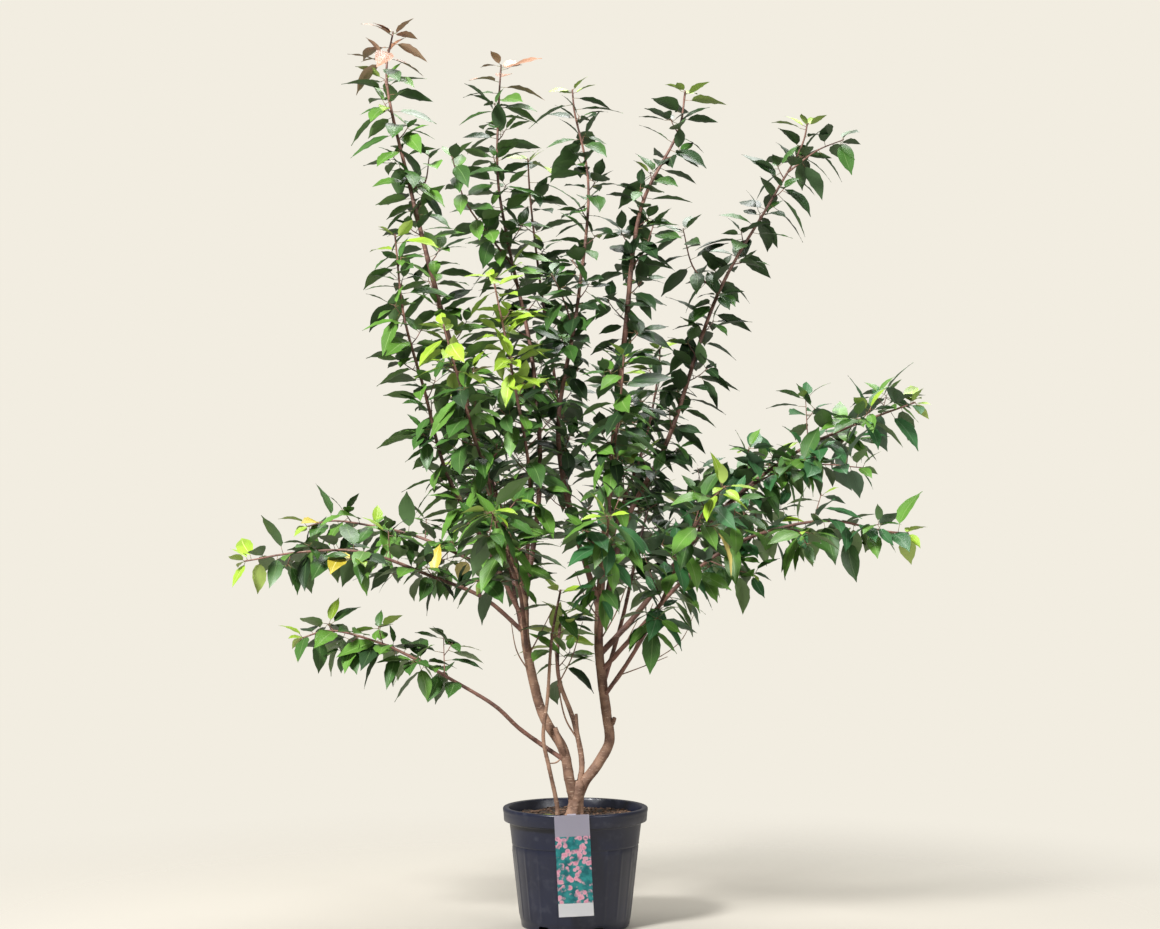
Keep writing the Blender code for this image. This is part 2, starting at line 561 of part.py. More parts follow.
class Foliage:
    """A leader's leafy part: its twigs and leaves, kept inside the room that is nearest to it."""

    def __init__(self, plant, name, index):
        self.plant = plant
        self.name = name
        self.limb = plant.rows[name]
        self.start = plant.bare_ends[name]
        shoot = plant.shoots[name]
        self.stem = shoot.straightened(self.start + GAP, shoot.length, STEM_GAP)
        self.side_shoots = [side.straightened(0.0, side.length, TWIG_RING_GAP)
                            for side in plant.side_shoots.get(name, ())]
        self.random = np.random.default_rng(SEED * 1000 + index)
        self.own = plant.twig_marks[name]
        self.others = np.concatenate([points for other, points in plant.twig_marks.items() if other != name])
        self.twigs = []
        self.leaves = []
        self.taken = [self.own]

    def fits(self, points, spare_radius):
        """Whether points lie in this mass's own room, clear of all wood but its own."""
        near_own = distances(points, self.own)
        near_others = distances(points, self.others)
        if np.any(near_own + ROOM_MARGIN > near_others):
            return False
        centres, radii, owners = self.plant.wood
        foreign = owners != self.name
        away = np.linalg.norm(points[:, None, :] - centres[None, foreign, :], axis=2) - radii[None, foreign]
        return away.min() > spare_radius and points[:, 2].min() > LOWEST_LEAF

    def grow(self):
        """Twigs by a golden-angle rule, then leaves along the leader, its side shoots and its twigs."""
        turn = self.random.uniform(0.0, math.tau)
        stem_end = self.stem.length
        leafy = stem_end - self.start
        mark = self.start + TWIG_START
        while mark < stem_end - TWIG_END:
            turn += GOLDEN_ANGLE
            share = (mark - self.start) / leafy
            self.grow_twig(mark, turn, self.limb.twig * (TWIG_LONGEST - TWIG_SHORTENING * share))
            mark += TWIG_GAP * self.stray()
        self.leaf_run(self.stem, self.start + LEAF_START, stem_end, self.limb.gap)
        for side in self.side_shoots:
            self.leaf_run(side, TWIG_LEAF_START, side.length, self.limb.gap)
        for twig in self.twigs:
            self.leaf_run(twig, TWIG_LEAF_START, twig.length, TWIG_LEAF_GAP)

    def stray(self):
        """A factor near 1."""
        return self.random.uniform(1.0 - SPACING_SPREAD, 1.0 + SPACING_SPREAD)

    def grow_twig(self, mark, turn, length):
        foot = self.stem.centre(mark)
        tangent = self.stem.tangent(mark)
        outward = spread_direction(tangent, turn)
        lift = TWIG_LIFT * abs(tangent[2]) * UP
        heading = unit(outward + TWIG_FORWARD * tangent + lift)
        middle = foot + heading * length * TWIG_BEND
        end = middle + unit(heading + lift) * length * (1.0 - TWIG_BEND)
        twig = Shoot((foot, middle, end), TWIG_RADIUS, TWIG_TIP_RADIUS)
        free = twig.points[twig.marks > TWIG_FOOT]
        if self.fits(free, TWIG_CLEAR):
            self.twigs.append(twig.straightened(0.0, twig.length, TWIG_RING_GAP))
            self.taken.append(free)

    def leaf_run(self, shoot, start, end, gap):
        """Leaves in a golden-angle spiral, with one at the very tip."""
        turn = self.random.uniform(0.0, math.tau)
        mark = start
        while mark < end - gap * TIP_BARE:
            turn += GOLDEN_ANGLE + self.random.uniform(-TURN_SPREAD, TURN_SPREAD)
            self.add_leaf(shoot, mark, turn)
            mark += gap * self.stray()
        for index in range(TIP_LEAVES):
            turn += math.tau / TIP_LEAVES
            self.add_leaf(shoot, end - TIP_LEAF_GAP * (1 + index), turn, at_tip=True)

    def add_leaf(self, shoot, mark, turn, at_tip=False):
        root = shoot.centre(mark)
        tangent = shoot.tangent(mark)
        length = LEAF_LENGTH * self.stray() * (TIP_LEAF_SIZE if at_tip else 1.0)
        outward = spread_direction(tangent, turn)
        droop = LEAF_DROOP * (0.0 if at_tip else 1.0 - (mark / shoot.length) ** 3)
        droop += self.random.uniform(-DROOP_SPREAD, DROOP_SPREAD)
        for attempt in range(LEAF_TRIES):
            heading = unit(outward - droop * UP + (TIP_RISE * tangent if at_tip else 0.0))
            if not at_tip:
                heading = through_a_face(heading, tangent, shoot.side(mark))
            roll = self.random.uniform(-LEAF_ROLL, LEAF_ROLL)
            leaf = Leaf(root, heading, roll, length, shoot.radius(mark))
            if self.leaf_fits(leaf):
                self.leaves.append(leaf)
                self.taken.append(leaf.samples())
                return
            outward = spread_direction(tangent, turn + self.random.uniform(-LEAF_TRY_TURN, LEAF_TRY_TURN))
            length *= LEAF_TRY_SHRINK

    def leaf_fits(self, leaf):
        blade = leaf.samples()
        if distances(blade, np.concatenate(self.taken)).min() < LEAF_APART:
            return False
        return self.fits(blade, LEAF_CLEAR)

    def build(self, material):
        """One closed body of the stem, side shoots, twigs and leaves."""
        stem = tube(self.stem.rings(), TWIG_SIDES, TWIG_SWELL)
        item = place(stem, "foliage_" + self.name, material)
        pieces = [tube(twig.rings(), TWIG_SIDES, TWIG_SWELL) for twig in self.side_shoots + self.twigs]
        pieces += [leaf.solid() for leaf in self.leaves]
        apply_boolean(item, pieces, "UNION", SOLVER)
        return item


class Leaf:
    """A six-faced blade with a keel, whose root is sunk in its twig."""

    def __init__(self, root, heading, roll, length, sink):
        level = unit(np.cross(heading, UP) + 1e-6)
        upright = np.cross(level, heading)
        self.across = math.cos(roll) * level + math.sin(roll) * upright
        self.upward = np.cross(self.across, heading)
        self.heading = heading
        self.root = root - heading * sink * LEAF_SINK
        self.length = length
        self.width = LEAF_WIDTH * length / LEAF_LENGTH

    def point(self, along, across, up=0.0):
        return self.root + self.heading * along + self.across * across + self.upward * up

    def corners(self):
        widest = self.length * LEAF_WIDEST
        half = self.width / 2
        return (self.point(0.0, 0.0), self.point(widest, half, LEAF_FOLD), self.point(widest, -half, LEAF_FOLD),
                self.point(widest, 0.0, LEAF_FOLD - LEAF_THICK), self.point(self.length, 0.0, 0.0))

    def samples(self):
        """Points spread over the blade, for keeping it clear of other things."""
        points = []
        for share in (0.28, 0.42, 0.56, 0.70, 0.85, 1.0):
            breadth = min(share / LEAF_WIDEST, (1.0 - share) / (1.0 - LEAF_WIDEST))
            for side in (-0.5, -0.25, 0.0, 0.25, 0.5):
                points.append(self.point(self.length * share, self.width * breadth * side))
        return np.array(points)

    def solid(self):
        mesh = bmesh.new()
        root, left, right, keel, tip = [mesh.verts.new(corner) for corner in self.corners()]
        ring = (left, right, keel)
        for first, second in zip(ring, ring[1:] + ring[:1]):
            mesh.faces.new((root, first, second))
            mesh.faces.new((tip, second, first))
        bmesh.ops.recalc_face_normals(mesh, faces=mesh.faces)
        return mesh


def distances(points, marks):
    """Distance from each point to the nearest mark."""
    return np.linalg.norm(points[:, None, :] - marks[None, :, :], axis=2).min(axis=1)


def through_a_face(heading, tangent, side):
    """Turn a heading about its twig so that it leaves near the middle of one of the twig's flat faces."""
    across = np.cross(tangent, side)
    along = heading.dot(tangent)
    turn = math.atan2(heading.dot(across), heading.dot(side))
    face_turn = math.tau / TWIG_SIDES
    face = (math.floor(turn / face_turn) + 0.5) * face_turn
    turn = face + (turn - face) * FACE_SPREAD
    spoke = math.cos(turn) * side + math.sin(turn) * across
    return along * tangent + math.sqrt(max(0.0, 1.0 - along * along)) * spoke


def spread_direction(tangent, turn):
    """A direction square to a shoot, flattened towards the level on shoots that lie over."""
    level = unit(np.cross(tangent, UP) + 1e-6)
    upright = np.cross(level, tangent)
    steep = abs(tangent[2])
    return unit(math.cos(turn) * level + math.sin(turn) * upright * (LIE_FLAT + (1.0 - LIE_FLAT) * steep))


def build_limbs(plant, bark, shoot_bark):
    """The trunk, stems and boughs, each with the collars of the limbs it carries."""
    items = []
    trunk = place(tube(trunk_rings(), TRUNK_SIDES), "trunk", bark)
    apply_boolean(trunk, collars_on(plant, "trunk"), "UNION")
    items.append(trunk)
    for limb in LIMBS:
        shoot = plant.shoots[limb.name]
        start = plant.starts[limb.name] + (0.0 if limb.carrier == "soil" else GAP)
        from_foot = limb.carrier in ("trunk", "soil")
        carries = limb.name in plant.collars
        bars = shoot.straightened(start, plant.bare_ends[limb.name], STEM_RING_GAP if carries else RING_GAP)
        name = limb.name if from_foot else "bough_" + limb.name
        item = place(tube(bars.rings(), LIMB_SIDES if from_foot else BOUGH_SIDES), name,
                     bark if from_foot else shoot_bark)
        if carries:
            apply_boolean(item, collars_on(plant, limb.name), "UNION")
        items.append(item)
    return items


def collars_on(plant, carrier):
    """The short feet, fused to a carrier, that its limbs grow on from."""
    collars = []
    for name in plant.collars.get(carrier, ()):
        shoot = plant.shoots[name]
        sides = LIMB_SIDES if carrier == "trunk" else BOUGH_SIDES
        bars = shoot.straightened(0.0, plant.starts[name], COLLAR_RING_GAP)
        collars.append(tube(bars.rings(), sides))
    return collars


def main():
    for item in list(bpy.data.objects):
        bpy.data.objects.remove(item)
    bark = paint("Bark", BARK_BROWN, 0.75)
    shoot_bark = paint("Shoot bark", SHOOT_BROWN, 0.65)
    make_pot(paint("Pot plastic", POT_BLACK, 0.38))
    make_soil(paint("Potting soil", SOIL_BROWN, 0.95))
    make_card(paint("Card print", CARD_TEAL, 0.45))
    plant = Plant()
    build_limbs(plant, bark, shoot_bark)
    green = paint("Leaf", LEAF_GREEN, 0.50)
    for index, limb in enumerate(LIMBS):
        foliage = Foliage(plant, limb.name, index)
        foliage.grow()
        foliage.build(green)


main()
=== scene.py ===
"""Looks of the kanzan cherry in its nursery pot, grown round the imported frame."""
import json
import math
from collections import namedtuple

import bmesh
import bpy
import numpy as np
from mathutils import Matrix, Vector, noise

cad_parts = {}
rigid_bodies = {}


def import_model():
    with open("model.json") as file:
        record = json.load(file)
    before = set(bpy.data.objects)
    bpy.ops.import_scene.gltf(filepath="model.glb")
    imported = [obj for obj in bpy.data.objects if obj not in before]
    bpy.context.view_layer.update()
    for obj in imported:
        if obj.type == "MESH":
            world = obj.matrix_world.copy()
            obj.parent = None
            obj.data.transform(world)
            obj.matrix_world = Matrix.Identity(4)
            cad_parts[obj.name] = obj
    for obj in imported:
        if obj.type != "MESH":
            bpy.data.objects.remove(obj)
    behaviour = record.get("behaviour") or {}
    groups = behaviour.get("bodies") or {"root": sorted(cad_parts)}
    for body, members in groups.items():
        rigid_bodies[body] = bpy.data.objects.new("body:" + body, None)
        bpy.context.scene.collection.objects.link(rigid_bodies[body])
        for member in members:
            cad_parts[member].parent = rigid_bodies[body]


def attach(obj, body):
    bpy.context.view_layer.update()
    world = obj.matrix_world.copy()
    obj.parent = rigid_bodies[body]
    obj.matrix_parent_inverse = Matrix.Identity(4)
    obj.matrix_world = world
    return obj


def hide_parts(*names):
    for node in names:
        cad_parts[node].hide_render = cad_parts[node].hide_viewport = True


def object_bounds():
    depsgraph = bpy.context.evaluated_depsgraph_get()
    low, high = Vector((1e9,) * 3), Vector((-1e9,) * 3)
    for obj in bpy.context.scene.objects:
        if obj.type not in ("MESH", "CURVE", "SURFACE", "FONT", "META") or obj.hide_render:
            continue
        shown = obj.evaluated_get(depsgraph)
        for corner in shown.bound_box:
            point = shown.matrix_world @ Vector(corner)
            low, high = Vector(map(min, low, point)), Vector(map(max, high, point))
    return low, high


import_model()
CAD_BOX = [list(corner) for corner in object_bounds()]

# Camera, from the photograph's frame of 1160 by 929 pixels
CAMERA_PLACE = (0.0127, -7.36, 1.271)
FOCAL_PIXELS = 2667.0
FRAME_WIDTH = 1160.0
SENSOR = 36.0

# Floor, surround and lamps
FLOOR_RADIUS = 4.0
FLOOR_FADE = (0.45, 2.6)
FLOOR_COLOUR = (0.46, 0.43, 0.375)
SURROUND_COLOUR = (0.888, 0.847, 0.753)
SURROUND_LIGHT = 0.34
LAMP_AIM = (0.0, 0.0, 1.2)
LAMPS = (("Key", (-3.2, -4.2, 5.2), 1.2, 820.0), ("Fill", (4.0, -4.0, 2.2), 2.5, 120.0),
         ("Top", (0.6, 1.8, 5.5), 2.5, 260.0))

SEED = 20
UP = np.array((0.0, 0.0, 1.0))
GOLDEN_ANGLE = math.radians(137.5)
MERGE_GAP = 0.00001
NUDGE = 1e-6                    # gives an upright shoot a level direction

# Nursery pot
POT_HEIGHT = 0.328
POT_RIM_RADIUS = 0.200
POT_MOUTH_RADIUS = 0.186
POT_BODY_RADIUS = 0.182
POT_FOOT_RADIUS = 0.150
POT_WALL = 0.0025
POT_FLOOR = 0.004
SKIRT = POT_HEIGHT - 0.037      # lower edge of the lip
BAND = POT_HEIGHT - 0.100       # small step in the wall, above the ribs
LIP_HOLLOW = POT_HEIGHT - 0.006
LIP_ROUND = 0.005
FOOT_STEP = 0.020
WALL_TOP = BAND - 0.010
WALL_STEPS = 22
OUTER_SKIN = 0.001
SHARP_ANGLE = math.radians(34.0)
RIB_COUNT = 22
RIB_TURN = math.radians(30.0)
RIB_STEPS = 12                  # turned steps for each rib
RIB_RISE = 0.0015
RIB_WIDTH = 0.0060
RIB_FOOT = 0.026
RIB_TOP = BAND - 0.009
RIB_FADE = 0.010
RIB_TOP_SHARE = 0.3             # of a rib's rise, left at its top
NOTCH_COUNT = 6
NOTCH_TURN = math.radians(-35.0)
NOTCH_WIDTH = 0.034
NOTCH_HEIGHT = 0.016
NOTCH_DEPTH = 0.016
NOTCH_SINK = 0.001
NOTCH_CORNER = 0.006

# Potting soil, bark chips and moss
SOIL_TOP = 0.3030
SOIL_DEPTH = 0.040
SOIL_CLEAR = 0.0035
SOIL_FOOT_STEP = 0.005
SOIL_SKIN = 0.001
SOIL_RINGS = 44
SOIL_TURNS = 120
SOIL_WAVE = 0.0045
SOIL_WAVE_SCALE = 22.0
SOIL_CRUMB = 0.0022
SOIL_CRUMB_SCALE = 90.0
MOUND_RISE = 0.004
MOUND_REACH = 0.08
CHIP_COUNT = 520
CHIP_AREA = (0.02, 0.93)        # shares of the soil's area between which chips lie
CHIP_SIZES = ((0.006, 0.018), (0.004, 0.010), (0.0015, 0.004))
CHIP_TILT = 0.5
CHIP_RISE = 0.0015
MOSS_COUNT = 420
MOSS_CENTRE = (-0.082, -0.058)
MOSS_REACH = (0.034, 0.030)
MOSS_RISE = 0.003
MOSS_SWELL = 0.004
TUFT_RADII = (0.0018, 0.0003)
TUFT_HEIGHTS = (0.005, 0.010)
TUFT_LEAN = 0.6

# Care card
CARD_WIDTH = 0.094
CARD_HEIGHT = 0.272
CARD_THICK = 0.0008
CARD_TOP = 0.3300
CARD_SIDE = -0.010
CARD_CLEAR = 0.0006
CARD_CURL = 0.0008
CARD_LEAN = math.radians(2.8)
CARD_HEAD_FROM = 0.79           # shares of the card's height
CARD_FOOT_TO = 0.13
PRINT_SCALE = 100.0
BLOSSOM_SCALE = 0.80
BLOSSOM_EDGE = (0.60, 0.50)
HOOK_WIDTH = 0.024
HOOK_REACH = 0.0240
HOOK_DROP = 0.014
HOOK_BEND = 0.003
HOOK_RISE = 0.0004
HOOK_THICK = 0.0006

# Colours; those of barks and stalks are light, dark and pores, those of earths dark and light
BLACK = (0.0, 0.0, 0.0)
WHITE = (1.0, 1.0, 1.0)
NAVY = (0.006, 0.008, 0.021)
WORN_NAVY = (0.011, 0.014, 0.034)
DUSTY_NAVY = (0.030, 0.033, 0.050)
DEEP_TEAL = (0.010, 0.155, 0.175)
TEAL = (0.035, 0.330, 0.330)
PINK = (0.78, 0.22, 0.36)
PALE_PINK = (0.93, 0.72, 0.78)
LAVENDER = (0.40, 0.38, 0.46)
PALE_LAVENDER = (0.46, 0.44, 0.52)
PALE_GREY = (0.72, 0.72, 0.74)
BARK_COLOURS = ((0.300, 0.175, 0.115), (0.120, 0.062, 0.040), (0.470, 0.330, 0.240))
SHOOT_BARK_COLOURS = ((0.230, 0.110, 0.080), (0.095, 0.045, 0.035), (0.380, 0.250, 0.190))
STALK_COLOURS = ((0.230, 0.130, 0.070), (0.140, 0.160, 0.040), (0.300, 0.200, 0.100))
SOIL_COLOURS = ((0.016, 0.011, 0.008), (0.070, 0.045, 0.030))
CHIP_COLOURS = ((0.050, 0.026, 0.016), (0.190, 0.105, 0.062))
MOSS_COLOURS = ((0.120, 0.170, 0.020), (0.420, 0.460, 0.080))
MOTTLE_DETAIL = 6.0

# Material name and colours of each kind of leaf: upper side, underside, veins
LEAF_COLOURS = {
    "dark": ("Leaf dark", (0.018, 0.050, 0.014), (0.060, 0.105, 0.045), (0.070, 0.130, 0.045)),
    "mid": ("Leaf green", (0.048, 0.135, 0.022), (0.090, 0.160, 0.060), (0.120, 0.210, 0.065)),
    "bright": ("Leaf bright", (0.110, 0.260, 0.034), (0.150, 0.250, 0.085), (0.210, 0.340, 0.100)),
    "bluish": ("Leaf bluish", (0.040, 0.150, 0.045), (0.110, 0.180, 0.110), (0.130, 0.230, 0.120)),
    "lime": ("Leaf lime", (0.300, 0.480, 0.030), (0.360, 0.480, 0.110), (0.520, 0.640, 0.180)),
    "bronze": ("Leaf bronze", (0.360, 0.170, 0.090), (0.420, 0.270, 0.180), (0.520, 0.330, 0.220)),
    "yellow": ("Leaf yellow", (0.620, 0.500, 0.040), (0.620, 0.520, 0.160), (0.700, 0.620, 0.240)),
}

# Bark relief
SWELLING_SCALE = 42.0
SWELLING_SHARE = 0.07
PORE_SCALE = np.array((60.0, 60.0, 520.0))
PORE_LEVEL = 0.22
PORE_RISE = 0.0016
CRACK_SCALE = 95.0
CRACK_DEPTH = 0.0014
ROOT_HEIGHT = 0.05
ROOT_RISE = 0.0035
ROOT_SINK = 0.002
ROOT_WAVES = ((5, 0.6, 1.0), (3, -1.0, 0.6))    # swellings round the foot: number, phase, share

# Gap between the rings and number of sides of each skin
STEM_SKIN = (0.004, 24)
BOUGH_SKIN = (0.006, 16)
BARE_TWIG_SKIN = (0.006, 10)
LEADER_SKIN = (0.012, 8)
SIDE_SHOOT_SKIN = (0.015, 6)
TWIG_SKIN = (0.025, 5)
STALK_SIDES = 3
TRUNK_SIDES = 48

# Trunk: the source's own radii at heights over the soil
TRUNK_HEIGHTS = (0.0, 0.006, 0.016, 0.036, 0.062, 0.084, 0.096)
TRUNK_RADII = (0.0305, 0.0270, 0.0240, 0.0212, 0.0208, 0.0190, 0.0135)
TRUNK_RING_GAP = 0.002
TRUNK_CLEAR = 0.0003
TRUNK_FOOT = -0.005
TRUNK_LEAN = 0.016
TRUNK_LEAN_HEIGHT = 0.1

# Limbs: the source's own ways in millimetres, its radii, twig length and leaf gap in metres, and the bare
# share of the length
TAPER_POWER = 0.85
LIE_FLAT = 0.35

Limb = namedtuple("Limb", "name carrier way foot_radius tip_radius bare twig gap")

LIMBS = (
    Limb("left_stem", "trunk", ((-4, -3, 350), (-15, -10, 395), (-34, -12, 487), (-89, -15, 581),
         (-137, -22, 788), (-144, -25, 909), (-188, -30, 1042), (-323, -45, 1525), (-452, -80, 2031),
         (-514, -100, 2331), (-496, -100, 2450)), 0.0145, 0.0022, 0.39, 0.10, 0.048),
    Limb("right_stem", "trunk", ((6, 2, 350), (24, 5, 392), (62, 8, 444), (94, 10, 507), (87, 10, 575),
         (65, 12, 761), (68, 15, 896), (98, 0, 1250), (136, -50, 1626), (182, -80, 1979), (283, -90, 2186),
         (300, -90, 2290)), 0.0150, 0.0022, 0.40, 0.09, 0.053),
    Limb("middle_stem", "trunk", ((4, 4, 360), (18, 10, 440), (-4, 32, 557), (-48, 52, 689),
         (-40, 75, 860)), 0.0085, 0.0035, 0.62, 0.09, 0.064),
    Limb("sucker", "soil", ((-50, -21, 303), (-50, -21, 328), (-73, -37, 443), (-88, -47, 520),
         (-76, -62, 634), (-64, -75, 800), (-40, -85, 930)), 0.0062, 0.0030, 0.72, 0.09, 0.057),
    Limb("mid_left", "left_stem", ((-141, -20, 871), (-99, 60, 1228), (-122, 100, 1572), (-190, 140, 1897),
         (-219, 160, 2079), (-216, 170, 2300), (-210, 170, 2400)), 0.0080, 0.0022, 0.17, 0.10, 0.048),
    Limb("centre", "right_stem", ((68, 15, 880), (-9, -50, 1119), (-47, -80, 1365), (5, -100, 1700),
         (35, -130, 2036), (-3, -150, 2230), (-8, -150, 2285)), 0.0078, 0.0022, 0.17, 0.08, 0.056),
    Limb("far_right", "right_stem", ((71, 13, 827), (138, 40, 1106), (249, 60, 1320), (402, 110, 1755),
         (558, 150, 2026), (642, 170, 2179), (655, 170, 2235)), 0.0085, 0.0022, 0.18, 0.08, 0.056),
    Limb("low_left", "left_stem", ((-141, -20, 838), (-230, -80, 1024), (-347, -140, 1245),
         (-405, -180, 1466), (-460, -200, 1670), (-479, -200, 1833), (-484, -200, 1890)), 0.0068, 0.0022,
         0.20, 0.09, 0.048),
    Limb("front_lime", "left_stem", ((-142, -21, 898), (-122, -200, 1229), (-164, -280, 1498),
         (-218, -300, 1770)), 0.0060, 0.0022, 0.22, 0.10, 0.046),
    Limb("front_left", "left_stem", ((-163, -27, 981), (-258, -250, 1310), (-306, -330, 1490),
         (-347, -350, 1640)), 0.0058, 0.0022, 0.24, 0.10, 0.046),
    Limb("back_centre", "right_stem", ((68, 14, 850), (-20, 160, 1180), (-60, 250, 1520), (-100, 285, 1782),
         (-131, 300, 2045), (-137, 300, 2150)), 0.0066, 0.0022, 0.18, 0.09, 0.056),
    Limb("left_outer", "left_stem", ((-139, -22, 807), (-250, -75, 906), (-387, -100, 965),
         (-579, -120, 1033), (-747, -120, 1033), (-900, -120, 1008)), 0.0062, 0.0020, 0.32, 0.09, 0.051),
    Limb("left_upper", "left_stem", ((-150, -26, 935), (-323, 65, 1020), (-449, 110, 1071),
         (-585, 135, 1101), (-690, 150, 1112), (-760, 150, 1095)), 0.0056, 0.0020, 0.20, 0.10, 0.048),
    Limb("left_low", "left_stem", ((-28, -12, 455), (-94, -16, 500), (-154, -50, 548), (-219, -100, 614),
         (-334, -130, 687), (-452, -150, 755), (-533, -150, 790), (-663, -150, 822), (-745, -150, 800)),
         0.0066, 0.0020, 0.46, 0.10, 0.043),
    Limb("right_upper", "right_stem", ((67, 12, 745), (165, 45, 850), (290, 75, 1010), (425, 85, 1160),
         (618, 90, 1306), (777, 90, 1381), (950, 90, 1445)), 0.0085, 0.0022, 0.20, 0.19, 0.046),
    Limb("right_lower", "right_stem", ((71, 11, 700), (170, -35, 812), (290, -80, 950), (420, -108, 1047),
         (556, -120, 1099), (697, -120, 1118), (841, -120, 1090), (905, -120, 1084)), 0.0070, 0.0022, 0.26,
         0.18, 0.048),
    Limb("right_front", "right_stem", ((79, 10, 630), (150, -80, 742), (222, -180, 880), (300, -320, 1075),
         (360, -420, 1185), (388, -465, 1215)), 0.0062, 0.0022, 0.32, 0.14, 0.043),
    Limb("front_low_left", "left_stem", ((-132, -21, 750), (-150, -180, 930), (-190, -360, 1060),
         (-210, -520, 1140), (-215, -620, 1150)), 0.0058, 0.0022, 0.34, 0.12, 0.046),
    Limb("front_low_right", "right_stem", ((65, 12, 770), (70, -130, 900), (80, -300, 1020),
         (85, -480, 1120), (80, -580, 1140)), 0.0058, 0.0022, 0.40, 0.12, 0.046),
    Limb("back_low_left", "left_stem", ((-127, -20, 715), (-170, 140, 900), (-210, 330, 1090),
         (-240, 520, 1220), (-250, 620, 1250)), 0.0062, 0.0022, 0.36, 0.12, 0.046),
    Limb("back_low_right", "right_stem", ((75, 11, 655), (130, 140, 830), (180, 310, 1030),
         (220, 500, 1160), (240, 600, 1190)), 0.0064, 0.0022, 0.40, 0.12, 0.046),
    Limb("back_left", "left_stem", ((-146, -24, 945), (-210, 130, 1150), (-290, 290, 1370),
         (-340, 370, 1560), (-350, 385, 1640)), 0.0060, 0.0022, 0.26, 0.12, 0.048),
    Limb("back_right", "right_stem", ((69, 13, 925), (120, 150, 1120), (200, 290, 1340), (240, 360, 1540),
         (245, 370, 1610)), 0.0060, 0.0022, 0.26, 0.12, 0.048),
    Limb("front_right", "right_stem", ((82, 8, 1060), (90, -130, 1210), (110, -260, 1360),
         (125, -320, 1500), (128, -330, 1560)), 0.0050, 0.0022, 0.22, 0.10, 0.051),
)

SideShoot = namedtuple("SideShoot", "limb start way radius")

SIDE_SHOOT_TIP_RADIUS = 0.0014
SIDE_SHOOTS = (
    SideShoot("mid_left", 0.630, ((-246, 70, 1916), (-307, 10, 2004), (-340, -30, 2120)), 0.0034),
    SideShoot("left_stem", 0.800, ((-415, -40, 2040), (-400, -45, 2120)), 0.0030),
    SideShoot("right_stem", 0.745, ((190, -60, 1860), (215, -55, 1930)), 0.0030),
    SideShoot("far_right", 0.900, ((680, 150, 2155), (755, 140, 2185)), 0.0030),
    SideShoot("right_upper", 0.440, ((520, 40, 1230), (660, -20, 1270), (790, -50, 1262)), 0.0036),
    SideShoot("right_upper", 0.360, ((400, 170, 1190), (540, 250, 1270)), 0.0036),
    SideShoot("far_right", 0.640, ((330, 90, 1820), (300, 85, 1930)), 0.0030),
    SideShoot("centre", 0.545, ((-40, -110, 1740), (-66, -120, 1790)), 0.0030),
)

# Bare twigs and pruned stubs low down, each from a point on the wood that carries it.
BareTwig = namedtuple("BareTwig", "way foot_radius tip_radius")

BARE_TWIGS = (
    BareTwig(((-26, -14, 462), (-40, -30, 500), (-56, -34, 548)), 0.0082, 0.0066),
    BareTwig(((12, 16, 480), (6, 12, 530), (2, 8, 582)), 0.0050, 0.0042),
    BareTwig(((92, 10, 545), (102, 4, 556), (108, -2, 572)), 0.0070, 0.0060),
    BareTwig(((-31, -12, 475), (-50, -20, 452), (-70, -36, 450)), 0.0026, 0.0016),
    BareTwig(((6, 20, 510), (-28, 10, 570), (-50, -10, 690), (-56, -20, 760)), 0.0026, 0.0012),
    BareTwig(((70, 12, 700), (118, -10, 745), (170, -30, 842)), 0.0022, 0.0010),
    BareTwig(((78, 12, 630), (128, 20, 690), (180, 30, 800), (215, 30, 886)), 0.0024, 0.0010),
    BareTwig(((128, 20, 690), (192, 40, 712), (256, 50, 737)), 0.0018, 0.0009),
    BareTwig(((192, 40, 712), (290, 30, 780), (330, 20, 860)), 0.0014, 0.0008),
    BareTwig(((-132, -21, 740), (-100, -50, 800), (-60, -80, 880)), 0.0022, 0.0010),
    BareTwig(((68, 14, 840), (30, -40, 900), (0, -90, 980)), 0.0022, 0.0010),
    BareTwig(((-120, -19, 690), (-160, -60, 760), (-175, -90, 840)), 0.0022, 0.0010),
    BareTwig(((66, 12, 780), (110, -30, 860), (140, -70, 940)), 0.0022, 0.0010),
    BareTwig(((-50, -10, 660), (-10, -20, 740), (20, -40, 840)), 0.0020, 0.0009),
)

# Foliage rule, as in the source, with leaves of real size on finer twigs
POINT_STRIDE = 3
ROOM_MARGIN = 0.002
LOWEST_LEAF = 0.36
TWIG_GAP = 0.070
TWIG_GAPS = (0.85, 1.15)
TWIG_START = 0.040
TWIG_END = 0.080
TWIG_LOW_SHARE = 1.15           # of the limb's longest twig, at the foot of its leafy part
TWIG_FALL = 0.75
TWIG_LENGTHS = (0.7, 1.15)
TWIG_LIFT = 0.35
TWIG_FORWARD = 0.45
TWIG_BEND = 0.55
TWIG_ROOT = 0.012
TWIG_CLEAR = 0.004
TWIG_RADIUS = 0.0019
TWIG_TIP_RADIUS = 0.0011
SPURRED_TWIG = 2.2              # shortest twig with a spur, in spur lengths
SPUR_PLACE = 0.5
SPUR_LENGTH = 0.045
SPUR_RADIUS = 0.0013
LEADER_OVERLAP = 0.002

# Leaves along a shoot, with a tuft at its tip
LEAF_GAP_SHARE = 0.34           # of the source's leaf gap along a leader
TWIG_LEAF_GAP = 0.022
LEAF_GAPS = (0.8, 1.2)
LEADER_LEAF_START = 0.012
SIDE_LEAF_START = 0.030
TWIG_LEAF_START = 0.020
RUN_END = 0.6                   # of a gap, kept free below the tuft
LEAF_TURN = 0.25
TIP_LEAVES = 4
TIP_DROP = 0.002
TIP_STEP = 0.003
TIP_SIZE = 0.62
TIP_DROOP = 0.25
TIP_RISE = 0.7

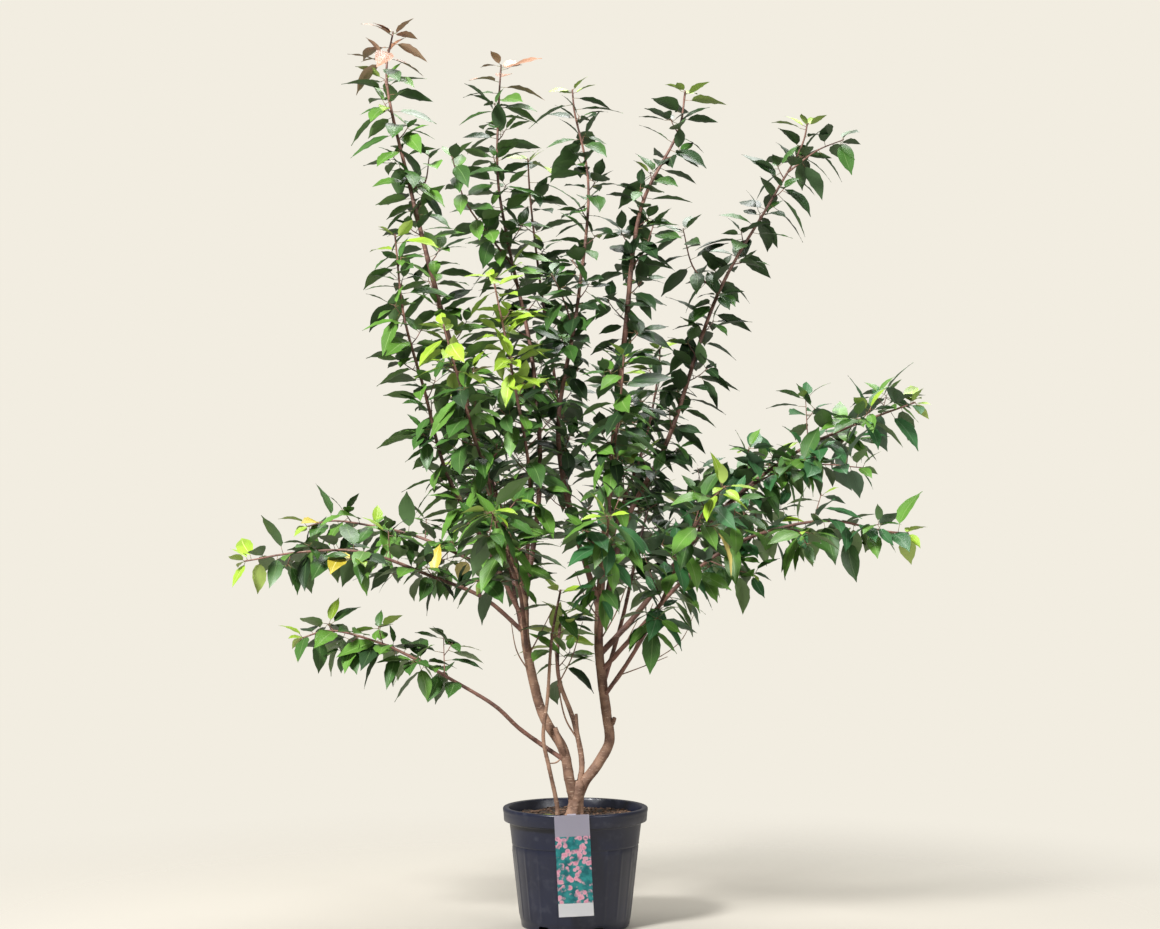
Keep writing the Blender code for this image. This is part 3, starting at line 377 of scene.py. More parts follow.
# One leaf: its place, and what changes at a further try
LEAF_LENGTH = 0.104
LEAF_SPREAD = 0.20
LEAF_CLEAR = 0.004
LEAF_DROOP = 0.20
DROOP_SPREAD = 0.45
LEAF_RISE = 0.25
ROLL_SPREAD = 0.55
LEAF_TRIES = 5
RETRY_TURN = 1.4
RETRY_SIZE = 0.94
FIT_HALF_WIDTH = 0.22
FIT_POINTS = ((0.25, 0.9), (0.25, -0.9), (0.5, 1), (0.5, -1), (0.75, 0), (1.0, 0))
STALK_SHARE = 0.20
STALK_FORWARD = 0.6
STALK_OVERLAP = 0.003
STALK_RADIUS = 0.0009
STALK_TAPER = (1.2, 0.8)
STALK_SIDE_GUIDE = (0.3, 1.0, 0.2)

# Leaf forms, one unit long, and the veins on them in shares of the UV map
LEAF_FORMS = 6
LEAF_COLUMNS = 4
LEAF_ROWS = 9
LEAF_BREADTH = 0.212
LEAF_END_BREADTH = 0.004
LEAF_FULL_LOW = 0.80
LEAF_FULLNESS = 0.85
TIP_FROM = 0.72
TIP_NARROWING = 0.55
EDGE_FROM = 0.9                 # of the half breadth
TOOTH_REACH = 1.06
RUFFLE = 0.010
RUFFLE_TURN = 2.4
LEAF_ARCH = (0.10, 0.34)
LEAF_FOLD = (0.10, 0.38)
LEAF_TWIST = (-0.25, 0.25)
LEAF_SWAY = (-0.05, 0.05)
ARCH_SHORTENING = 0.10
LEAF_MERGE_GAP = 0.0001
MIDRIB_EDGE = 0.030
MIDRIB_CORE = 0.010
VEIN_GAP = 0.055
VEIN_SLANT = 0.8
VEIN_WIDTH = 0.008
VEIN_STRENGTH = 0.45
DEEPER_GREEN = 0.62

# From which share of a limb's length its young leaves begin, and their kind
YOUNG_LIMBS = {"front_lime": ("lime", 0.66), "front_left": ("lime", 0.80), "left_stem": ("bronze", 0.955),
               "mid_left": ("bronze", 0.955), "right_front": ("lime", 0.93), "left_outer": ("lime", 0.95),
               "middle_stem": ("lime", 0.80), "low_left": ("lime", 0.95)}
YOUNG_ELSEWHERE = ("lime", 0.985)
YELLOW_FROM = 0.996             # chances
LIME_TIP_FROM = 0.95

# Kinds of the other leaves, each up to a chance; the centre, right stem, far right and back limbs take mostly
# the dark green, as painted shade
PLAIN_GREENS = (("bright", 0.45), ("mid", 0.85), ("dark", 1.0))
PAINTED_SHADE_GREENS = (("dark", 0.55), ("mid", 1.0))
BLUISH_GREENS = (("bluish", 0.38), ("mid", 0.60), ("bright", 1.0))
# Limbs whose leaves are mostly dark green, painted shade for the back and inside of the crown
PAINTED_SHADE_LIMBS = ("centre", "right_stem", "far_right", "back_centre", "back_left", "back_right", "back_low_left",
              "back_low_right")
BLUISH_LIMBS = ("right_upper", "right_lower", "right_front", "front_low_right")
LIMB_GREENS = {**dict.fromkeys(PAINTED_SHADE_LIMBS, PAINTED_SHADE_GREENS), **dict.fromkeys(BLUISH_LIMBS, BLUISH_GREENS)}


def unit(vector):
    return vector / np.linalg.norm(vector)


def metres(way):
    """The points of a way that is given in millimetres."""
    return [tuple(value / 1000 for value in point) for point in way]


def smooth(way, step=0.005):
    """Points about one step apart on a smooth curve through the way's points."""
    points = [np.array(point, dtype=float) for point in way]
    points = [2 * points[0] - points[1]] + points + [2 * points[-1] - points[-2]]
    curve = [points[1]]
    for before, start, end, after in zip(points, points[1:], points[2:], points[3:]):
        count = max(2, int(np.linalg.norm(end - start) / step))
        knots = np.cumsum([0.0] + [math.sqrt(np.linalg.norm(b - a)) for a, b in
                                   ((before, start), (start, end), (end, after))])
        for t in np.linspace(knots[1], knots[2], count + 1)[1:]:
            curve.append(centripetal((before, start, end, after), knots, t))
    return np.array(curve)


def centripetal(points, knots, t):
    """One point of the centripetal Catmull-Rom curve through four points."""
    level = list(points)
    for spans in (((0, 1), (1, 2), (2, 3)), ((0, 2), (1, 3)), ((1, 2),)):
        level = [((knots[last] - t) * a + (t - knots[first]) * b) / (knots[last] - knots[first])
                 for (first, last), a, b in zip(spans, level, level[1:])]
    return level[0]


class Shoot:
    """A tapering round limb along a smooth curve, with a steady frame round it."""

    def __init__(self, way, foot_radius, tip_radius):
        self.points = smooth(way)
        steps = np.linalg.norm(np.diff(self.points, axis=0), axis=1)
        self.marks = np.concatenate(([0.0], np.cumsum(steps)))
        self.length = self.marks[-1]
        self.foot_radius = foot_radius
        self.tip_radius = tip_radius
        tangents = np.gradient(self.points, self.marks, axis=0)
        self.tangents = tangents / np.linalg.norm(tangents, axis=1)[:, None]
        side = np.cross(self.tangents[0], (0.0, 1.0, 0.0))
        self.sides = []
        for tangent in self.tangents:
            side = unit(side - tangent * side.dot(tangent))
            self.sides.append(side)
        self.sides = np.array(self.sides)

    def blend(self, rows, mark):
        return np.array([np.interp(mark, self.marks, rows[:, axis]) for axis in range(3)])

    def centre(self, mark):
        return self.blend(self.points, mark)

    def tangent(self, mark):
        return unit(self.blend(self.tangents, mark))

    def side(self, mark):
        tangent = self.tangent(mark)
        side = self.blend(self.sides, mark)
        return unit(side - tangent * side.dot(tangent))

    def radius(self, mark):
        share = min(1.0, mark / self.length)
        return self.tip_radius + (self.foot_radius - self.tip_radius) * (1.0 - share) ** TAPER_POWER

    def rings(self, start, end, gap):
        """Ring centres, frames and radii between two marks."""
        marks = np.linspace(start, end, max(2, round((end - start) / gap) + 1))
        return [(self.centre(mark), self.tangent(mark), self.side(mark), self.radius(mark)) for mark in marks]


def spread_direction(tangent, turn):
    """A direction square to a shoot, flattened towards the level on shoots that lie over."""
    level = unit(np.cross(tangent, UP) + NUDGE)
    upright = np.cross(level, tangent)
    steep = abs(tangent[2])
    return unit(math.cos(turn) * level + math.sin(turn) * upright * (LIE_FLAT + (1.0 - LIE_FLAT) * steep))


def distances(points, marks):
    return np.linalg.norm(points[:, None, :] - marks[None, :, :], axis=2).min(axis=1)


class Plant:
    """Every limb of the tree and the room each mass has."""

    def __init__(self):
        self.shoots = {limb.name: Shoot(metres(limb.way), limb.foot_radius, limb.tip_radius)
                       for limb in LIMBS}
        self.bare_ends = {limb.name: self.shoots[limb.name].length * limb.bare for limb in LIMBS}
        self.side_shoots = {}
        for row in SIDE_SHOOTS:
            carrier = self.shoots[row.limb]
            foot = carrier.centre(carrier.length * row.start)
            shoot = Shoot([foot] + metres(row.way), row.radius, SIDE_SHOOT_TIP_RADIUS)
            self.side_shoots.setdefault(row.limb, []).append(shoot)
        self.axes = {limb.name: self.axis_points(limb.name) for limb in LIMBS}
        self.wood = self.wood_points()

    def axis_points(self, name):
        """Middle points of a limb's leafy part and of its side shoots, for finding the nearest room."""
        shoot = self.shoots[name]
        leafy = shoot.points[shoot.marks > self.bare_ends[name]][::POINT_STRIDE]
        sides = [side.points[::POINT_STRIDE] for side in self.side_shoots.get(name, ())]
        return np.concatenate([leafy] + sides)

    def wood_points(self):
        """Middle points, radii and owners of all limbs, for keeping leaves off them."""
        centres = []
        radii = []
        owners = []
        for name, shoot in self.shoots.items():
            for index in range(0, len(shoot.points), POINT_STRIDE):
                mark = shoot.marks[index]
                centres.append(shoot.points[index])
                radii.append(shoot.radius(mark))
                owners.append(name if mark > self.bare_ends[name] else "wood")
        return np.array(centres), np.array(radii), np.array(owners)


class Foliage:
    """A leader's leafy part: its twigs, spurs and leaves, kept inside the room that is nearest to it."""

    def __init__(self, plant, limb, index):
        self.limb = limb
        self.stem = plant.shoots[limb.name]
        self.start = plant.bare_ends[limb.name]
        self.side_shoots = plant.side_shoots.get(limb.name, [])
        self.random = np.random.default_rng(SEED * 1000 + index)
        self.own = plant.axes[limb.name]
        self.others = np.concatenate([points for name, points in plant.axes.items() if name != limb.name])
        centres, radii, owners = plant.wood
        self.foreign_centres = centres[owners != limb.name]
        self.foreign_radii = radii[owners != limb.name]
        self.twigs = []
        self.leaves = []

    def fits(self, points, clear):
        """Whether points lie in this mass's own room and in the plant's box, clear of foreign wood."""
        low, high = np.array(CAD_BOX)
        if points[:, 2].min() < LOWEST_LEAF or np.any(points < low) or np.any(points > high):
            return False
        if np.any(distances(points, self.own) + ROOM_MARGIN > distances(points, self.others)):
            return False
        away = np.linalg.norm(points[:, None, :] - self.foreign_centres[None, :, :], axis=2)
        return (away - self.foreign_radii).min() > clear

    def grow(self):
        """Twigs by a golden-angle rule, spurs on them, then leaves along everything."""
        turn = self.random.uniform(0.0, math.tau)
        leafy = self.stem.length - self.start
        mark = self.start + TWIG_START
        while mark < self.stem.length - TWIG_END:
            turn += GOLDEN_ANGLE
            share = (mark - self.start) / leafy
            longest = self.limb.twig * (TWIG_LOW_SHARE - TWIG_FALL * share)
            length = longest * self.random.uniform(*TWIG_LENGTHS)
            self.grow_twig(self.stem, mark, turn, length, TWIG_RADIUS)
            mark += TWIG_GAP * self.random.uniform(*TWIG_GAPS)
        for twig in list(self.twigs):
            if twig.length > SPURRED_TWIG * SPUR_LENGTH:
                turn = self.random.uniform(0.0, math.tau)
                self.grow_twig(twig, twig.length * SPUR_PLACE, turn, SPUR_LENGTH, SPUR_RADIUS)
        self.leaf_run(self.stem, self.start + LEADER_LEAF_START, self.limb.gap * LEAF_GAP_SHARE)
        for side in self.side_shoots:
            self.leaf_run(side, SIDE_LEAF_START, self.limb.gap * LEAF_GAP_SHARE)
        for twig in self.twigs:
            self.leaf_run(twig, TWIG_LEAF_START, TWIG_LEAF_GAP)

    def grow_twig(self, carrier, mark, turn, length, radius):
        foot = carrier.centre(mark)
        tangent = carrier.tangent(mark)
        lift = TWIG_LIFT * abs(tangent[2]) * UP
        heading = unit(spread_direction(tangent, turn) + TWIG_FORWARD * tangent + lift)
        middle = foot + heading * length * TWIG_BEND
        end = middle + unit(heading + lift) * length * (1.0 - TWIG_BEND)
        twig = Shoot((foot, middle, end), radius, TWIG_TIP_RADIUS)
        if self.fits(twig.points[twig.marks > TWIG_ROOT], TWIG_CLEAR):
            self.twigs.append(twig)

    def leaf_run(self, shoot, start, gap):
        """Leaves in a golden-angle spiral, with a tuft at the very tip."""
        turn = self.random.uniform(0.0, math.tau)
        mark = start
        while mark < shoot.length - gap * RUN_END:
            turn += GOLDEN_ANGLE + self.random.uniform(-LEAF_TURN, LEAF_TURN)
            self.add_leaf(shoot, mark, turn)
            mark += gap * self.random.uniform(*LEAF_GAPS)
        for index in range(TIP_LEAVES):
            turn += math.tau / TIP_LEAVES
            self.add_leaf(shoot, shoot.length - TIP_DROP - TIP_STEP * index, turn, at_tip=True)

    def add_leaf(self, shoot, mark, turn, at_tip=False):
        """One leaf, turned and shortened a little at each further try, until it fits."""
        root = shoot.centre(mark)
        tangent = shoot.tangent(mark)
        size, droop_share, rise = (TIP_SIZE, TIP_DROOP, TIP_RISE) if at_tip else (1.0, 1.0, LEAF_RISE)
        length = LEAF_LENGTH * self.random.uniform(1.0 - LEAF_SPREAD, 1.0 + LEAF_SPREAD) * size
        turned = turn
        for _ in range(LEAF_TRIES):
            droop = LEAF_DROOP * droop_share + self.random.uniform(-DROOP_SPREAD, DROOP_SPREAD)
            outward = spread_direction(tangent, turned)
            heading = unit(outward - droop * UP + tangent * rise)
            roll = self.random.uniform(-ROLL_SPREAD, ROLL_SPREAD)
            leaf = Leaf(root, outward, heading, roll, length, self.random.integers(LEAF_FORMS))
            if self.fits(leaf.samples(), LEAF_CLEAR):
                leaf.kind = self.kind_at(shoot, mark, at_tip)
                self.leaves.append(leaf)
                return
            turned = turn + self.random.uniform(-RETRY_TURN, RETRY_TURN)
            length *= RETRY_SIZE

    def kind_at(self, shoot, mark, at_tip):
        """Young leaves at the tips of some limbs, else the limb's greens, mostly dark on some limbs as
        painted shade.
        """
        share = mark / shoot.length if shoot is self.stem else self.nearest_share(shoot.centre(mark))
        young, begins = YOUNG_LIMBS.get(self.limb.name, YOUNG_ELSEWHERE)
        if share > begins:
            return young
        chance = self.random.uniform()
        if chance > YELLOW_FROM:
            return "yellow"
        if chance > LIME_TIP_FROM and at_tip:
            return "lime"
        return next(kind for kind, limit in LIMB_GREENS.get(self.limb.name, PLAIN_GREENS) if chance < limit)

    def nearest_share(self, point):
        index = np.linalg.norm(self.stem.points - point, axis=1).argmin()
        return self.stem.marks[index] / self.stem.length


class Leaf:
    """One leaf on its stalk: where its blade starts and which way it points."""

    def __init__(self, root, outward, heading, roll, length, form):
        self.root = root
        self.form = form
        self.length = length
        self.stalk_end = root + unit(outward + STALK_FORWARD * heading) * length * STALK_SHARE
        level = unit(np.cross(heading, UP) + NUDGE)
        upright = np.cross(level, heading)
        self.across = math.cos(roll) * level + math.sin(roll) * upright
        self.upward = np.cross(self.across, heading)
        self.heading = heading
        self.kind = None

    def samples(self):
        """Points round the blade's edge, which decide whether it fits."""
        half = self.length * FIT_HALF_WIDTH
        return np.array([self.stalk_end + self.heading * self.length * along + self.across * half * side
                         for along, side in FIT_POINTS])

    def matrix(self):
        """Places a leaf form, whose length runs along +Y and upper side faces +Z."""
        matrix = np.identity(4)
        matrix[:3, :3] = np.column_stack((self.across, self.heading, self.upward)) * self.length
        matrix[:3, 3] = self.stalk_end
        return Matrix(matrix.tolist())


def settle(mesh, name):
    """A bmesh's finished mesh, with the bmesh freed."""
    data = bpy.data.meshes.new(name)
    mesh.to_mesh(data)
    mesh.free()
    return data


def stand(name, data):
    """A new object in the scene."""
    item = bpy.data.objects.new(name, data)
    bpy.context.scene.collection.objects.link(item)
    return item


def place(mesh, name, material, smooth_shaded=True):
    """Turn a bmesh into an object that rides with the plant."""
    data = settle(mesh, name)
    if smooth_shaded:
        data.shade_smooth()
    data.materials.append(material)
    item = stand(name, data)
    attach(item, "root")
    return item


def join_into(whole, mesh):
    data = settle(mesh, "join")
    whole.from_mesh(data)
    bpy.data.meshes.remove(data)


def mapped_grid(columns, rows):
    """A grid one unit wide and high about the origin, with a UV map."""
    mesh = bmesh.new()
    mesh.loops.layers.uv.new("UVMap")
    bmesh.ops.create_grid(mesh, x_segments=columns, y_segments=rows, size=0.5, calc_uvs=True)
    return mesh


def wrapped_grid(rings, sides, relief=None):
    """A closed skin round rings: a grid rolled up, with its ends filled."""
    rows = len(rings) - 1
    mesh = mapped_grid(sides, rows)
    for corner in mesh.verts:
        turn = math.tau * (corner.co.x + 0.5)
        centre, tangent, side, radius = rings[round((corner.co.y + 0.5) * rows)]
        across = np.cross(tangent, side)
        spoke = math.cos(turn) * side + math.sin(turn) * across
        if relief:
            radius += relief(centre + spoke * radius, spoke, radius)
        corner.co = centre + spoke * radius
    bmesh.ops.remove_doubles(mesh, verts=mesh.verts, dist=MERGE_GAP)
    bmesh.ops.holes_fill(mesh, edges=[edge for edge in mesh.edges if edge.is_boundary])
    bmesh.ops.recalc_face_normals(mesh, faces=mesh.faces)
    return mesh


def bark_relief(point, spoke, radius):
    """Soft swellings and level ridges of breathing pores."""
    swelling = noise.noise(Vector(point * SWELLING_SCALE)) * SWELLING_SHARE * radius
    ridge = max(0.0, noise.noise(Vector(point * PORE_SCALE)) - PORE_LEVEL)
    return swelling + ridge * PORE_RISE


def trunk_rings():
    """The flare at the soil, drawn through the source's radii, with buttresses left to the relief."""
    rings = []
    for height in np.arange(0.0, TRUNK_HEIGHTS[-1] + TRUNK_RING_GAP / 4, TRUNK_RING_GAP):
        radius = float(np.interp(height, TRUNK_HEIGHTS, TRUNK_RADII))
        middle = TRUNK_FOOT + TRUNK_LEAN * height / TRUNK_LEAN_HEIGHT
        centre = np.array((middle, 0.0, SOIL_TOP + TRUNK_CLEAR + height))
        rings.append((centre, UP, np.array((1.0, 0.0, 0.0)), radius))
    return rings


def trunk_relief(point, spoke, radius):
    """Root swellings that run out into the soil, and cracked bark."""
    low = max(0.0, 1.0 - (point[2] - SOIL_TOP) / ROOT_HEIGHT)
    turn = math.atan2(spoke[1], spoke[0])
    waves = sum(share * math.cos(turn * count + phase) for count, phase, share in ROOT_WAVES)
    cracks = noise.noise(Vector(point * CRACK_SCALE)) * CRACK_DEPTH
    return ROOT_RISE * low * waves - ROOT_SINK * low + cracks + bark_relief(point, spoke, radius)


def node_tree(material):
    material.use_nodes = True
    return material.node_tree


def feed(tree, socket, value):
    """Link a socket to another one, or give it a plain number or colour."""
    if isinstance(value, bpy.types.NodeSocket):
        tree.links.new(value, socket)
    else:
        socket.default_value = (*value, 1.0) if isinstance(value, tuple) else value


def feed_all(tree, node, **values):
    """Feed a node's sockets by name, with a low line for each space in a name."""
    for name, value in values.items():
        feed(tree, node.inputs[name.replace("_", " ")], value)


def reckon(tree, operation, *values):
    """The result of a math node."""
    made = tree.nodes.new("ShaderNodeMath")
    made.operation = operation
    for socket, value in zip(made.inputs, values):
        feed(tree, socket, value)
    return made.outputs["Value"]


def ramp(tree, value, start, end, low=0.0, high=1.0, curve="LINEAR"):
    """A number from low to high, by a value's place between start and end."""
    made = tree.nodes.new("ShaderNodeMapRange")
    made.interpolation_type = curve
    feed_all(tree, made, Value=value, From_Min=start, From_Max=end, To_Min=low, To_Max=high)
    return made.outputs["Result"]


def blend_colours(tree, factor, first, second):
    """A mix of two colours, each a socket or plain values."""
    mix = tree.nodes.new("ShaderNodeMix")
    mix.data_type = "RGBA"
    feed_all(tree, mix, Factor=factor, A=first, B=second)
    return mix.outputs["Result"]


def bump(tree, shader, height, strength, distance):
    made = tree.nodes.new("ShaderNodeBump")
    feed_all(tree, made, Height=height, Strength=strength, Distance=distance)
    feed_all(tree, shader, Normal=made.outputs["Normal"])


def uv_map(tree):
    """The UV map's vector, and its two numbers."""
    uv = tree.nodes.new("ShaderNodeUVMap")
    uv.uv_map = "UVMap"
    split = tree.nodes.new("ShaderNodeSeparateXYZ")
    tree.links.new(uv.outputs["UV"], split.inputs["Vector"])
    return uv.outputs["UV"], split.outputs["X"], split.outputs["Y"]


def stretched(tree, vector, scale):
    mapping = tree.nodes.new("ShaderNodeMapping")
    mapping.inputs["Scale"].default_value = scale
    tree.links.new(vector, mapping.inputs["Vector"])
    return mapping.outputs["Vector"]


def make_mottle_group():
    """Blotches of a second colour with a matching height, for bark, soil and plastic."""
    group = bpy.data.node_groups.new("Mottle", "ShaderNodeTree")
    for name, kind in (("Vector", "Vector"), ("Scale", "Float"), ("Low", "Float"), ("High", "Float"),
                       ("Colour A", "Color"), ("Colour B", "Color")):
        group.interface.new_socket(name, in_out="INPUT", socket_type="NodeSocket" + kind)
    for name, kind in (("Colour", "Color"), ("Mask", "Float")):
        group.interface.new_socket(name, in_out="OUTPUT", socket_type="NodeSocket" + kind)
    given = group.nodes.new("NodeGroupInput").outputs
    pattern = group.nodes.new("ShaderNodeTexNoise")
    feed_all(group, pattern, Vector=given["Vector"], Scale=given["Scale"], Detail=MOTTLE_DETAIL)
    mask = ramp(group, pattern.outputs["Fac"], given["Low"], given["High"])
    colour = blend_colours(group, mask, given["Colour A"], given["Colour B"])
    feed_all(group, group.nodes.new("NodeGroupOutput"), Colour=colour, Mask=mask)
    return group


def mottle(tree, vector, scale, colours=(BLACK, WHITE), low=0.40, high=0.62, stretch=(1.0, 1.0, 1.0)):
    """The colour and the mask of a mottle group, on a stretched copy of a vector."""
    made = tree.nodes.new("ShaderNodeGroup")
    made.node_tree = MOTTLE
    feed_all(tree, made, Vector=stretched(tree, vector, stretch), Scale=scale, Low=low, High=high,
             Colour_A=colours[0], Colour_B=colours[1])
    return made.outputs["Colour"], made.outputs["Mask"]


def start_material(name, roughness=0.5):
    material = bpy.data.materials.new(name)
    tree = node_tree(material)
    shader = tree.nodes["Principled BSDF"]
    shader.inputs["Roughness"].default_value = roughness
    vector = tree.nodes.new("ShaderNodeTexCoord").outputs["Object"]
    return material, tree, shader, vector


def bark_material(name, light, dark, pore, roughness=0.72):
    """Satin bark with level pale pores and darker blotches."""
    material, tree, shader, vector = start_material(name, roughness)
    blotches, _ = mottle(tree, vector, 26.0, (dark, light), low=0.36, high=0.60)
    _, pores = mottle(tree, vector, 55.0, low=0.61, high=0.68, stretch=(1.0, 1.0, 7.0))
    feed_all(tree, shader, Base_Color=blend_colours(tree, pores, blotches, pore))
    _, grain = mottle(tree, vector, 240.0, low=0.2, high=0.8, stretch=(1.0, 1.0, 2.5))
    bump(tree, shader, grain, strength=0.5, distance=0.0007)
    return material


def leaf_material(name, upper, lower, vein):
    """Upper side with a pale midrib and side veins, paler underside."""
    material, tree, shader, vector = start_material(name, roughness=0.42)
    _, across, along = uv_map(tree)
    off = reckon(tree, "ABSOLUTE", reckon(tree, "SUBTRACT", across, 0.5))
    midrib = ramp(tree, off, MIDRIB_EDGE, MIDRIB_CORE)
    slanted = reckon(tree, "MULTIPLY_ADD", off, -VEIN_SLANT, along)
    side_veins = ramp(tree, reckon(tree, "PINGPONG", slanted, VEIN_GAP), VEIN_WIDTH, 0.0, high=VEIN_STRENGTH)
    veins = reckon(tree, "MAXIMUM", midrib, side_veins)
    deeper = tuple(value * DEEPER_GREEN for value in upper)
    ground, _ = mottle(tree, vector, 11.0, (deeper, upper), low=0.35, high=0.60)
    top = blend_colours(tree, veins, ground, vein)
    back = tree.nodes.new("ShaderNodeNewGeometry").outputs["Backfacing"]
    feed_all(tree, shader, Base_Color=blend_colours(tree, back, top, lower))
    bump(tree, shader, veins, strength=0.35, distance=0.0006)
    return material


def plastic_material():
    """Dark navy moulded plastic, a little dusty and scuffed."""
    material, tree, shader, vector = start_material("Pot plastic")
    tone, _ = mottle(tree, vector, 9.0, (NAVY, WORN_NAVY), low=0.3, high=0.7)
    _, dust = mottle(tree, vector, 38.0, low=0.56, high=0.80)
    feed_all(tree, shader, Base_Color=blend_colours(tree, dust, tone, DUSTY_NAVY),
             Roughness=ramp(tree, dust, 0.0, 1.0, low=0.30, high=0.62))
    _, grain = mottle(tree, vector, 420.0, low=0.2, high=0.8)
    bump(tree, shader, grain, strength=0.12, distance=0.0004)
    return material


def earth_material(name, dark, light, roughness=0.92):
    material, tree, shader, vector = start_material(name, roughness)
    colour, crumbs = mottle(tree, vector, 130.0, (dark, light), low=0.38, high=0.66)
    feed_all(tree, shader, Base_Color=colour)
    bump(tree, shader, crumbs, strength=0.6, distance=0.002)
    return material


def print_material():
    """Card print: a plain lavender head, pink blossom scattered on teal, and a pale foot."""
    material, tree, shader, vector = start_material("Card print", roughness=0.32)
    uv, _, up = uv_map(tree)
    sheet = stretched(tree, uv, (CARD_WIDTH * PRINT_SCALE, CARD_HEIGHT * PRINT_SCALE, 1.0))
    ground, _ = mottle(tree, sheet, 0.55, (DEEP_TEAL, TEAL))
    petals = tree.nodes.new("ShaderNodeTexVoronoi")
    feed_all(tree, petals, Vector=sheet, Scale=BLOSSOM_SCALE)
    distance = petals.outputs["Distance"]
    bloom = ramp(tree, distance, *BLOSSOM_EDGE)
    _, clusters = mottle(tree, sheet, 0.32, low=0.44, high=0.52)
    shown = reckon(tree, "MULTIPLY", bloom, clusters)
    picture = blend_colours(tree, shown, ground, blend_colours(tree, distance, PINK, PALE_PINK))
    with_head = blend_colours(tree, reckon(tree, "GREATER_THAN", up, CARD_HEAD_FROM), picture, LAVENDER)
    colour = blend_colours(tree, reckon(tree, "LESS_THAN", up, CARD_FOOT_TO), with_head, PALE_GREY)
    feed_all(tree, shader, Base_Color=colour, Coat_Weight=0.3)
    return material


def leaf_form(random):
    """One leaf blade, one unit long: a toothed oval with a drawn-out tip, folded and arched."""
    mesh = mapped_grid(LEAF_COLUMNS, LEAF_ROWS)
    ranges = (LEAF_ARCH, LEAF_FOLD, LEAF_TWIST, LEAF_SWAY)
    arch, fold, twist, sway = (random.uniform(*ends) for ends in ranges)
    for corner in mesh.verts:
        along = corner.co.y + 0.5
        side = corner.co.x * 2.0
        row = round(along * LEAF_ROWS)
        breadth = LEAF_END_BREADTH
        if 0 < along < 1:
            breadth = LEAF_BREADTH * math.sin(math.pi * min(1.0, along ** LEAF_FULL_LOW)) ** LEAF_FULLNESS
        breadth *= 1.0 - TIP_NARROWING * max(0.0, along - TIP_FROM) / (1.0 - TIP_FROM)
        if abs(side) > EDGE_FROM and row % 2:
            breadth *= TOOTH_REACH
        x = side * breadth
        ruffle = RUFFLE * math.sin(row * RUFFLE_TURN + side) * abs(side)
        z = abs(x) * fold - arch * along ** 2 + ruffle + x * twist * along
        corner.co = (x + sway * math.sin(math.pi * along), along * (1.0 - ARCH_SHORTENING * arch), z)
    bmesh.ops.remove_doubles(mesh, verts=mesh.verts, dist=LEAF_MERGE_GAP)
    return settle(mesh, "leaf_form")


def make_leaves(leaves):
    """One joined piece of blades for each kind of leaf."""
    random = np.random.default_rng(SEED)
    forms = [leaf_form(random) for _ in range(LEAF_FORMS)]
    made = []
    for kind, (name, upper, lower, vein) in LEAF_COLOURS.items():
        whole = bmesh.new()
        for leaf in leaves:
            if leaf.kind == kind:
                blade = forms[leaf.form].copy()
                blade.transform(leaf.matrix())
                whole.from_mesh(blade)
                bpy.data.meshes.remove(blade)
        item = place(whole, "leaves_" + kind, leaf_material(name, upper, lower, vein))
        made.append(item)
    for form in forms:
        bpy.data.meshes.remove(form)
    return made


def skin(shoot, start, ring_gap, sides, relief=None):
    """A closed skin round a shoot, from a mark to its tip."""
    return wrapped_grid(shoot.rings(start, shoot.length, ring_gap), sides, relief)


def stalk_skin(leaf):
    """A leaf's stalk, from its shoot to just inside the blade."""
    axis = unit(leaf.stalk_end - leaf.root)
    side = unit(np.cross(axis, STALK_SIDE_GUIDE))
    end = leaf.stalk_end + leaf.heading * STALK_OVERLAP
    rings = [(centre, axis, side, STALK_RADIUS * share)
             for centre, share in zip((leaf.root, end), STALK_TAPER)]
    return wrapped_grid(rings, STALK_SIDES)


def make_twigs(masses, material):
    """Leaders with their side shoots, twigs with their spurs, and leaf stalks, each kind a joined piece."""
    leaders = bmesh.new()
    fine = bmesh.new()
    stalks = bmesh.new()
    for mass in masses:
        join_into(leaders, skin(mass.stem, mass.start - LEADER_OVERLAP, *LEADER_SKIN, bark_relief))
        for side in mass.side_shoots:
            join_into(leaders, skin(side, 0.0, *SIDE_SHOOT_SKIN))
        for twig in mass.twigs:
            join_into(fine, skin(twig, 0.0, *TWIG_SKIN))
        for leaf in mass.leaves:
            join_into(stalks, stalk_skin(leaf))
    made = [place(leaders, "leaders", material), place(fine, "twigs", material)]
    stalk = place(stalks, "leaf_stalks", bark_material("Leaf stalk", *STALK_COLOURS, roughness=0.5))
    return made + [stalk]


def make_bark(plant, bark, shoot_bark):
    """The trunk and each bare limb, with the bark's relief, from inside its carrier to its foliage."""
    trunk = place(wrapped_grid(trunk_rings(), TRUNK_SIDES, trunk_relief), "bark_trunk", bark)
    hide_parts("trunk")
    for limb in LIMBS:
        from_foot = limb.carrier in ("trunk", "soil")
        ring_gap, sides = STEM_SKIN if from_foot else BOUGH_SKIN
        rings = plant.shoots[limb.name].rings(0.0, plant.bare_ends[limb.name], ring_gap)
        mesh = wrapped_grid(rings, sides, bark_relief)
        node = limb.name if from_foot else "bough_" + limb.name
        item = place(mesh, "bark_" + limb.name, bark if from_foot else shoot_bark)
        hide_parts(node)
    bare = bmesh.new()
    for row in BARE_TWIGS:
        shoot = Shoot(metres(row.way), row.foot_radius, row.tip_radius)
        join_into(bare, skin(shoot, 0.0, *BARE_TWIG_SKIN, bark_relief))
    item = place(bare, "bare_twigs", bark)


def wall_radius(height):
    return POT_FOOT_RADIUS + (POT_BODY_RADIUS - POT_FOOT_RADIUS) * (height / SKIRT)


def near(radius, height, steps):
    """Points of the pot's section at small steps, (out, up), from one place on it."""
    return [(radius + out, height + up) for out, up in steps]


